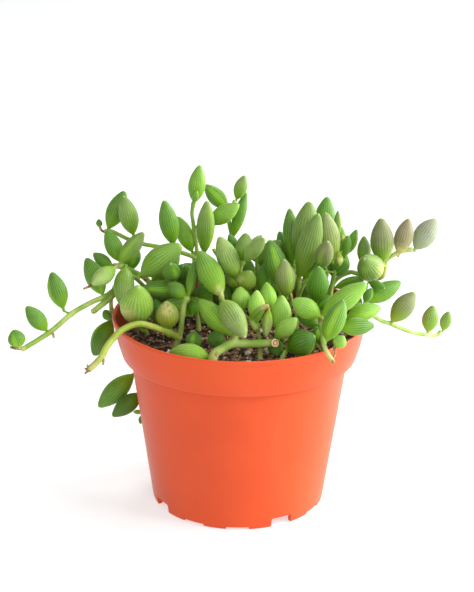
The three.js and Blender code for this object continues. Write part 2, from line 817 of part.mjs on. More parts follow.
// A far leaf stays below what the picture's near leaves hide, and no further back than the pot's rim
function isHidden(leaf) {
  return [0.5, 1].every((share) => {
    const point = leaf.root.clone().lerp(leaf.tip, share);
    const [across, down] = pictured(point);
    const half = leafRadius(leaf, share);
    return down - half / unitAt(point) > skylineAt(across) && point.y + half < RIM_RADIUS;
  });
}

// A far leaf takes the first drawn direction that has room, and is slimmer after half of its tries
function placeFarLeaf(name, root, heading, roll) {
  const { side, normal } = squareTo(heading, upward);
  const long = drawn(LEAF_LENGTH, roll());
  const wide = long * drawn(LEAF_SLIMNESS, roll());
  for (let attempt = 0; attempt < FAR_TRIES; attempt++) {
    const angle = 2 * Math.PI * roll();
    const out = heading.clone().multiplyScalar(drawn(LEAF_LEAN, roll()));
    out.addScaledVector(side, Math.cos(angle)).addScaledVector(normal, Math.sin(angle));
    out.z += LEAF_LIFT;
    const slim = attempt < FAR_TRIES / 2 ? 1 : LATE_SLIMMER;
    const tip = root.clone().addScaledVector(out.normalize(), long * slim);
    const leaf = { root, tip, wide: wide * slim, joint: root, far: true };
    const beads = leafBeads(leaf);
    if (!isHidden(leaf) || !beads.every(fits) || !isApart(name, beads, true)) continue;
    settle(name, beads);
    return [leaf];
  }
  return [];
}

function farLeaves(name, stem, roll) {
  const leaves = [];
  const length = stem.curve.getLength();
  for (let along = FIRST_LEAF; along <= length; along += LEAF_SPACING) {
    const root = jointFor([stem], stem.curve.getPointAt(along / length));
    leaves.push(...placeFarLeaf(name, root, stem.curve.getTangentAt(along / length), roll));
  }
  return leaves;
}

// All the strings: the stems of the picture's take their room first, then their leaves, then the far side's
function growStrings() {
  const grown = STRINGS.map((string) => ({ ...string, stems: stemsOf(string) }));
  for (const string of grown) for (const stem of string.stems) settle(string.name, stemBeads(stem));
  for (const string of grown)
    string.placed = string.leaves.flatMap((leaf) => placeLeaf(string, string.stems, leaf));
  const roll = dice(FAR_SEED);
  for (let index = 0; index < FAR_STRINGS; index++) grown.push(...growFarString(index, roll));
  return grown;
}

// A far string grows where its drawn stem clears the pot's wall and the other strings
function growFarString(index, roll) {
  const name = `far_string_${index + 1}`;
  for (let attempt = 0; attempt < FAR_TRIES; attempt++) {
    const string = { name, ...farStem(index, roll) };
    string.stems = stemsOf(string);
    const beads = stemBeads(string.stems[0]);
    if (!isApart(name, beads) || beads.some(({ at, radius }) => wallDistance(at) < radius + WALL)) continue;
    settle(name, beads);
    string.placed = farLeaves(name, string.stems[0], roll);
    return [string];
  }
  return [];
}

function stringSolid(string) {
  const parts = string.stems.map(stemSolid);
  parts.push(...string.placed.map(leafSolid));
  return parts.reduce((whole, part) => whole.add(part));
}

// The outside radius of the pot's body at a height
function bodyRadius(height) {
  return drawn([FOOT_RADIUS, BODY_TOP_RADIUS], height / BODY_TOP);
}

// The pot's section, out and up over the rim and down inside to the base, which stands clear of the ground
function potSection() {
  const bandTop = POT_HEIGHT - LIP_HEIGHT;
  const bandRadius = (share) =>
    drawn([BAND_FOOT_RADIUS, RIM_RADIUS - LIP_DEPTH], share) + BAND_BULGE * Math.sin(Math.PI * share);
  const band = BAND_RINGS.map((share) => [bandRadius(share), drawn([BODY_TOP + BAND_START, bandTop], share)]);
  const outside = [
    [FOOT_RADIUS, 0],
    [BODY_TOP_RADIUS, BODY_TOP],
    [BAND_FOOT_RADIUS - STEP_DEPTH, BODY_TOP + STEP_HEIGHT],
    ...band,
    [RIM_RADIUS, bandTop],
    [RIM_RADIUS, POT_HEIGHT],
  ];
  const baseTop = BASE_UNDERSIDE + BASE_THICKNESS;
  const inside = [
    [RIM_RADIUS - WALL, POT_HEIGHT],
    [band[2][0] - WALL, band[2][1]],
    [band[0][0] - WALL, band[0][1] + LEDGE_RISE],
    [BODY_TOP_RADIUS - WALL, BODY_TOP + LEDGE_RISE],
    [bodyRadius(baseTop) - WALL, baseTop],
    [0, baseTop],
    [0, BASE_UNDERSIDE],
    [FOOT_RADIUS - FOOT_WIDTH, BASE_UNDERSIDE],
    [FOOT_RADIUS - FOOT_WIDTH, 0],
  ];
  return { outside, inside };
}

// The inside radius of the pot at a height
function insideRadius(height) {
  const line = potSection().inside.filter(([radius]) => radius > 0).slice(0, -2);
  for (let k = 0; k + 1 < line.length; k++) {
    const [[wide, high], [narrow, low]] = [line[k], line[k + 1]];
    if (height >= low) return drawn([narrow, wide], (height - low) / (high - low));
  }
  return line.at(-1)[0];
}

function block(width, depth, height, angle, radius, middleHeight) {
  const geometry = new THREE.BoxGeometry(width, depth, height);
  geometry.translate(0, -radius, middleHeight);
  geometry.rotateZ(angle);
  return solidOf(geometry);
}

function peg(radius, low, high, sides, x, y) {
  const geometry = new THREE.CylinderGeometry(radius, radius, high - low, sides);
  geometry.rotateX(Math.PI / 2);
  geometry.rotateZ(Math.PI / 2);
  geometry.translate(x, y, (low + high) / 2);
  return solidOf(geometry);
}

function potSolid() {
  const { outside, inside } = potSection();
  const profile = [...outside, ...inside, outside[0]];
  const section = profile.map(([radius, height]) => new THREE.Vector2(radius, height));
  const turned = new THREE.LatheGeometry(section, POT_SIDES);
  turned.rotateX(Math.PI / 2);
  let pot = solidOf(turned);
  const width = 2 * FOOT_RADIUS * Math.sin(radians(NOTCH_DEGREES / 2));
  for (let k = 0; k < NOTCHES; k++) {
    const angle = radians((360 / NOTCHES) * k);
    const tall = k % 3 === 1;
    const height = tall ? TALL_NOTCH : LOW_NOTCH;
    const deep = CUT_MARGIN * FOOT_WIDTH;
    pot = pot.subtract(block(width, deep, height * 2, angle, FOOT_RADIUS - FOOT_WIDTH / 2, 0));
    const [x, y] = [DRAIN_CIRCLE * Math.sin(angle), -DRAIN_CIRCLE * Math.cos(angle)];
    const through = BASE_UNDERSIDE + BASE_THICKNESS + CUT_MARGIN;
    if (tall) pot = pot.subtract(peg(DRAIN_RADIUS, 0, through, DRAIN_SIDES, x, y));
  }
  return pot;
}

function soilRelief(x, y) {
  const waves = [BROAD_WAVE.x * x + BROAD_WAVE.fromX, BROAD_WAVE.y * y + BROAD_WAVE.fromY];
  const broad = Math.sin(waves[0]) * Math.cos(waves[1]);
  const [along, across] = [FINE_WAVE.along, FINE_WAVE.across].map(([overX, overY]) => overX * x + overY * y);
  return SOIL_RELIEF * (BROAD_WAVE.share * broad + FINE_WAVE.share * Math.sin(along) * Math.cos(across));
}

// The potting mix fills the pot, with an uneven top and a plain hole for each stem
function soilSolid(strings) {
  const level = (radius, height) =>
    ringAround(vector(0, 0, height), vector(1, 0, 0), vector(0, 1, 0), radius, radius, SOIL_SIDES);
  const wall = potSection().inside.slice(2, 5).reverse();
  const rings = wall.map(([radius, height]) => level(radius - WALL_GAP, height + WALL_GAP));
  rings.push(level(insideRadius(SOIL_LEVEL) - WALL_GAP, SOIL_LEVEL));
  for (const share of SOIL_RINGS) {
    const ring = level((insideRadius(SOIL_LEVEL) - WALL_GAP) * share, SOIL_LEVEL);
    for (const point of ring) point.z += soilRelief(point.x, point.y);
    rings.push(ring);
  }
  const floor = vector(0, 0, BASE_UNDERSIDE + BASE_THICKNESS + WALL_GAP);
  let soil = solidOf(loft(floor, rings, vector(0, 0, SOIL_LEVEL + soilRelief(0, 0))));
  const holeFloor = SOIL_LEVEL - ROOT_DEPTH - GAP;
  const above = SOIL_LEVEL + CUT_MARGIN;
  for (const { hole, girth } of strings)
    soil = soil.subtract(peg(girth / 2 + HOLE_GAP, holeFloor, above, STEM_SIDES, hole[0], hole[1]));
  return soil;
}

function finish(colour, roughness) {
  return new THREE.MeshStandardMaterial({ color: colour, roughness, metalness: 0 });
}

function piece(name, solid, material) {
  const mesh = new THREE.Mesh(geometryOf(solid), material);
  mesh.name = name;
  return mesh;
}

const terracotta = finish("#ea6139", 0.42);
const mix = finish("#3b2a20", 0.95);
const leafGreen = finish("#7fae45", 0.45);

const plant = new THREE.Group();
const strings = growStrings();
plant.add(piece("pot", potSolid(), terracotta));
plant.add(piece("potting_mix", soilSolid(strings), mix));
for (const string of strings) plant.add(piece(string.name, stringSolid(string), leafGreen));

export default plant;
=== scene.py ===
import math
import random

import bpy
import numpy as np
from mathutils import Matrix, Vector, kdtree, noise


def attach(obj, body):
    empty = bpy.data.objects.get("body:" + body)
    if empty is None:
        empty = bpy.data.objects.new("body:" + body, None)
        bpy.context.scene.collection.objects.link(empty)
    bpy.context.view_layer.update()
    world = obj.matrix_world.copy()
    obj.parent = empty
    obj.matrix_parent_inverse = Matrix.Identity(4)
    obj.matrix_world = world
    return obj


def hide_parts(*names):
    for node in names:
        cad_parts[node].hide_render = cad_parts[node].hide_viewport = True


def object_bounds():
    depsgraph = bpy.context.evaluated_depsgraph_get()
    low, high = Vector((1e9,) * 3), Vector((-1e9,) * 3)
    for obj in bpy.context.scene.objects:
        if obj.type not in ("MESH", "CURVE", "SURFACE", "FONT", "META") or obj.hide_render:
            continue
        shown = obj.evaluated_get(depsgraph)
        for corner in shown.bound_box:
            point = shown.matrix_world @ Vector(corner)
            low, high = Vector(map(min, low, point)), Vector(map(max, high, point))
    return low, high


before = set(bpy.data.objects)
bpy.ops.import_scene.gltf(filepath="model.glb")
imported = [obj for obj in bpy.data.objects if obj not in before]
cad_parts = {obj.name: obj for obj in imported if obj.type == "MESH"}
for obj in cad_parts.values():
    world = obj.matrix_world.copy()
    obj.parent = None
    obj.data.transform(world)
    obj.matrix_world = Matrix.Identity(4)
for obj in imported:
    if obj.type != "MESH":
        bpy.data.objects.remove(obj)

cad_low, cad_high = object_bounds()

MM = 0.001

# The pot
RIM_RADIUS = 57
POT_HEIGHT = 88
FOOT_RADIUS = 39.3
BODY_TOP_RADIUS = 49.2
BODY_TOP = 69.7
BAND_FOOT_RADIUS = 53
BAND_START = 1
BAND_BULGE = 0.4
BAND_RINGS = (0.08, 0.62)
STEP_HEIGHT = 0.6
STEP_DEPTH = 0.8
LEDGE_RISE = 1
LIP_HEIGHT = 2
LIP_DEPTH = 0.5
LIP_ROUND = 0.5
WALL = 1.3
FOOT_WIDTH = 2.2
BASE_UNDERSIDE = 5
BASE_TOP = 6.5
NOTCHES = 12
TALL_EVERY = 3
NOTCH_DEGREES = 15
LOW_NOTCH = 1.1
TALL_NOTCH = 4.2
NOTCH_ROUND = 0.8
NOTCH_SEGMENTS = 4
DRAIN_RADIUS = 4
DRAIN_CIRCLE = 28
DRAIN_SIDES = 40
DRAIN_CUT = 6
CUT_MARGIN = 3
POT_SIDES = 160
POT_SMOOTH = 38
AXIS_RADIUS = 1.5
ON_AXIS = 1e-6

# Where the pot's section has its rings: heights inside, shares of the band, and the body's heights
WALL_HEIGHTS = (20, 40, 60)
BAND_HEIGHTS = (75, 78, 81, 84)
BAND_SHARES = (0.985, 0.03)
BAND_STEPS = 14
BODY_HEIGHTS = (BODY_TOP - 2, 1.2)
BODY_STEPS = 10

# How the section's corners are rounded: steps outwards and up from each of them
ROUNDINGS = {
    "base": ((-1.2, 0), (-0.4, 0.3), (0, 1.1)),
    "lip inside": ((0.12, -0.15), (0.4, 0)),
    "lip outside": ((-0.4, 0), (-0.1, -0.12), (0, -0.45)),
    "lip underside": ((0, 0.5), (-0.12, 0.15), (-0.45, 0)),
    "band foot": ((0, 0.05),),
    "step edge": ((-0.25, 0),),
    "step underside": ((-0.2, -0.1),),
    "body top": ((-0.15, 0.1), (-0.2, -0.5)),
    "foot outside": ((0, 0.35), (-0.25, 0)),
    "foot inside": ((0.3, 0), (0, 0.35)),
}

# The inside wall is darkened with painted shade where the radius less this slope times the height
# is under the edge, and between the heights, each of which fades from one share to the other
INNER_SHADE_SLOPE = 0.229
INNER_SHADE_EDGE = (36.1, 36.4)
INNER_SHADE_HEIGHTS = ((70.4, 70.7, 0.0, 1.0), (87.0, 87.7, 1.0, 0.0))

# The potting mix
SOIL_LEVEL = 76.5
SOIL_RELIEF = 0.9
BROAD_WAVE = {"x": 0.19, "y": 0.23, "from_x": 1.3, "from_y": 0.4, "share": 0.55}
FINE_WAVE = {"along": (0.71, 0.53), "across": (0.47, -0.66), "share": 0.45}
SOIL_SIDES = 120
SOIL_STEPS = 38
SOIL_MIDDLE = 0.02
SOIL_SMOOTH = 50
WALL_GAP = 0.4
EDGE_FADE = 4
SOIL_LUMPS = 0.8
LUMP_SIZE = 2.6
LUMP_LAYERS = ((3, 1, 1), (9, 2.3, 0.5))
MIX_SEED = 11

# Loose lumps of the mix: how fine the mesh is, proportions, place in the noise, and finish
LUMPS = {
    "crumb": (1, (1, 1, 0.8), 5, "peat"),
    "chip": (1, (1.9, 0.75, 0.34), 4, "bark"),
    "grain": (2, (1, 0.9, 0.8), 5, "grain"),
    "tan": (1, (1.2, 0.9, 0.7), 3, "bark"),
}

# How many of them are strewn over the mix, with their least and greatest radius
STREWN = (
    ("crumb", 700, (0.5, 1.3)),
    ("tan", 500, (0.35, 1.0)),
    ("chip", 260, (0.7, 1.7)),
    ("grain", 110, (0.3, 0.7)),
    ("grain", 26, (1.2, 2.3)),
)
MOSTLY_SMALL = 1.7
LUMP_ROUGHNESS = 0.28
LUMP_FINENESS = 2.1
LUMP_ROOM = 0.6
LUMP_LENGTH = 1.5
LUMP_TILTS = (("X", 0.5), ("Y", 0.4))
LUMP_RISE = (-0.15, 0.35)

# Leaves and stems
STALK_SHARE = 0.08
LEAST_STALK = 0.55
FLATNESS = 0.86
SWELL_FROM = 0.05
SWELL_SKEW = 0.95
STALK_BLUNTNESS = 0.85
POINT_BLUNTNESS = 0.58
BROAD_WIDTH = 7
BUD_WIDTH = 4
BROAD_RING = 0.35
SLIM_RING = 0.5
BUD_RING = 0.32
RING_SIDES = 6
SAME_PLACE = 0.02
STEM_STEP = 9
STEM_END = 0.8
STEM_TAPER = 0.15
STEM_ROUNDNESS = 3
STEM_DRAW_STEP = 1.2
LEAST_STEPS = 4
SWELLING = 0.2
SWELLING_REACH = 1.1
END_STEP = 0.35
END_RADII = (0.93, 0.55)
ROOT_DEPTH = 6
SPROUT = 1.4
LEAF_SIDES = 20
LEAF_SHARES = (0, 0.025, 0.05, 0.08, 0.12, 0.18, 0.26, 0.35, 0.45, 0.55, 0.65, 0.74, 0.82, 0.88,
               0.92, 0.945, 0.96)
SPIKE_RINGS = ((0.15, 0.972), (0.075, 0.98), (0.05, 0.99), (0.02, 1))
STALK_WAIST = (0.9, -0.5)
POINTED = 0.2
POINTED_FROM = 0.7
POINTED_POWER = 1.5
PLUMPER = 0.02
BOWED = 0.04
SHADES = (0.9, 1.1)
LEAF_SEED = 5

# The view that places the leaves, as in the part
AWAY = 800
ABOVE = math.radians(20.35)
TILT = math.radians(0.59)
FOCAL = 1787
AIM_X = -1.24
AIM_Z = 96.5
PICTURE_WIDE = 474
PICTURE_HIGH = 592
SENSOR = 36

# Smooth lines: steps that a line is measured in, and the share of it that its heading is taken over
LINE_STEPS = 200
HEADING_REACH = 1e-4

# Ways that the part may have turned or slimmed a leaf, to clear its neighbours
TIP_TURNS = (0, 2, -2, 4, -4, 6, -6, 9, -9, 12, -12, 16, -16)
ROOT_TURNS = (0, 1.5, -1.5, 3, -3, 5, -5)
SLIMMER = (1, 0.92, 0.84, 0.74)

# The far side's strings, as in the part
FAR_STRINGS = 12
FAR_FROM = 20
FAR_TO = 160
FAR_SWAY = 12
FAR_TURN = 0.15
FAR_GIRTH = 2.1
FAR_SEED = 70
DICE_FACTOR = 1664525
DICE_STEP = 1013904223
DICE_SIDES = 4294967296
FAR_TRIES = 60
FAR_FOOT = (18, 43)
FAR_RISE = ((1, 84), (4, 92))
FAR_REACH = (8, 12)
FAR_HEIGHT = (96, 106)
FIRST_LEAF = 7
LEAF_SPACING = 6.6
LEAF_LENGTH = (14, 20)
LEAF_SLIMNESS = (0.42, 0.52)
LEAF_LEAN = (0.15, 0.65)
LEAF_LIFT = 0.35
LATE_SLIMMER = 0.8
FAR_LOOKS = "ggggsbdp"

# Camera, floor and lamps, in metres and watts: a lamp is its name, place, width and power
FARTHEST = 20
FLOOR_SIDES = 96
FLOOR_RADIUS = 6
FLOOR_DROP = 0.0003
WORLD_LIGHT = 0.40
LAMPS_AIM = (0, 0, 0.08)
LAMPS = (
    ("key", (0.95, -0.42, 0.75), 0.5, 9.0),
    ("back", (0.35, 0.85, 0.85), 0.6, 7.0),
    ("front", (0.05, -1.0, 0.66), 0.9, 5.4),
    ("side", (1.1, 0.24, 0.30), 0.8, 21.0),
)

# What each letter of "looks" stands for: the leaf's green, then how strong its pale lines, its
# dark lines, the purple-brown flush of its upper end and its yellow base are. Besides the leaf's
# own colour, the greens carry painted light and shade: d and m are darker green as painted shade on
# leaves that lie in shadow, and b, v and x are lighter green as painted light, so that leaves deep
# among the others come out bright
LEAF_LOOKS = {
    "g": ((0.112, 0.275, 0.010), 0.55, 0.55, 0.00, 0.50),
    "b": ((0.225, 0.450, 0.028), 0.70, 0.45, 0.00, 0.40),
    "v": ((0.310, 0.550, 0.060), 0.95, 0.45, 0.00, 0.40),
    "x": ((0.420, 0.730, 0.100), 0.80, 0.55, 0.00, 0.30),
    "s": ((0.200, 0.355, 0.038), 0.55, 0.90, 0.28, 0.50),
    "w": ((0.320, 0.490, 0.085), 1.00, 1.00, 0.30, 0.45),
    "q": ((0.280, 0.380, 0.072), 0.60, 0.95, 0.60, 0.50),
    "p": ((0.150, 0.235, 0.028), 0.50, 0.95, 0.90, 0.60),
    "k": ((0.300, 0.240, 0.130), 0.50, 0.85, 0.70, 0.15),
    "z": ((0.290, 0.310, 0.235), 0.55, 1.00, 0.40, 0.20),
    "d": ((0.080, 0.235, 0.004), 0.35, 0.50, 0.00, 0.20),
    "m": ((0.070, 0.170, 0.004), 0.12, 0.20, 0.00, 0.20),
    "y": ((0.270, 0.390, 0.030), 0.40, 0.55, 0.00, 0.60),
    "o": ((0.200, 0.285, 0.025), 0.50, 0.85, 0.45, 0.45),
    "r": ((0.290, 0.500, 0.030), 1.00, 0.35, 0.00, 0.85),
    "c": ((0.310, 0.370, 0.025), 0.50, 0.80, 0.30, 0.45),
}

# The finishes' colours. A dull patch, a dark line and the painted shade inside the pot multiply the
# colour under them
HUES = {
    "bleached skin": (0.56, 0.54, 0.20), "scar": (0.33, 0.15, 0.050),
    "leaf sheen": (0.82, 1.0, 0.52), "dull patch": (0.66, 0.78, 0.50), "bloom": (0.20, 0.32, 0.11),
    "leaf base": (0.29, 0.49, 0.024), "clear stripe": (0.30, 0.56, 0.020),
    "pale line": (0.62, 0.74, 0.50), "dark line": (0.42, 0.58, 0.62),
    "purple line": (0.150, 0.095, 0.085), "flush": (0.33, 0.27, 0.19),
    "leaf point": (0.62, 0.70, 0.38), "young stem": (0.22, 0.37, 0.048),
    "pale stem": (0.40, 0.53, 0.130), "stem scar": (0.26, 0.14, 0.055),
    "dry stalk": (0.17, 0.085, 0.035), "papery husk": (0.46, 0.32, 0.15),
    "old stem": (0.30, 0.41, 0.048), "straw": (0.46, 0.56, 0.100), "old scar": (0.30, 0.16, 0.06),
    "cut middle": (0.72, 0.52, 0.28), "cut ring": (0.48, 0.16, 0.05), "cut rim": (0.80, 0.68, 0.40),
    "deep terracotta": (0.645, 0.066, 0.0095), "terracotta": (0.70, 0.078, 0.0125),
    # The last colour here is the painted shade multiplied on the pot's inside wall
    "light terracotta": (0.74, 0.094, 0.020), "inner_shade": (0.36, 0.44, 0.65),
    "damp peat": (0.016, 0.008, 0.006), "dry peat": (0.460, 0.235, 0.120),
    "peat fibre": (0.36, 0.22, 0.13), "dark bark": (0.045, 0.018, 0.010),
    "tan bark": (0.92, 0.64, 0.40), "bark grain": (0.48, 0.32, 0.19),
    "white grain": (0.84, 0.81, 0.74), "sand": (0.66, 0.58, 0.46), "dirt": (0.34, 0.26, 0.18),
    "paper": (0.50, 0.51, 0.51), "pale paper": (0.54, 0.55, 0.55), "paper glow": (0.98, 1.0, 1.0),
}

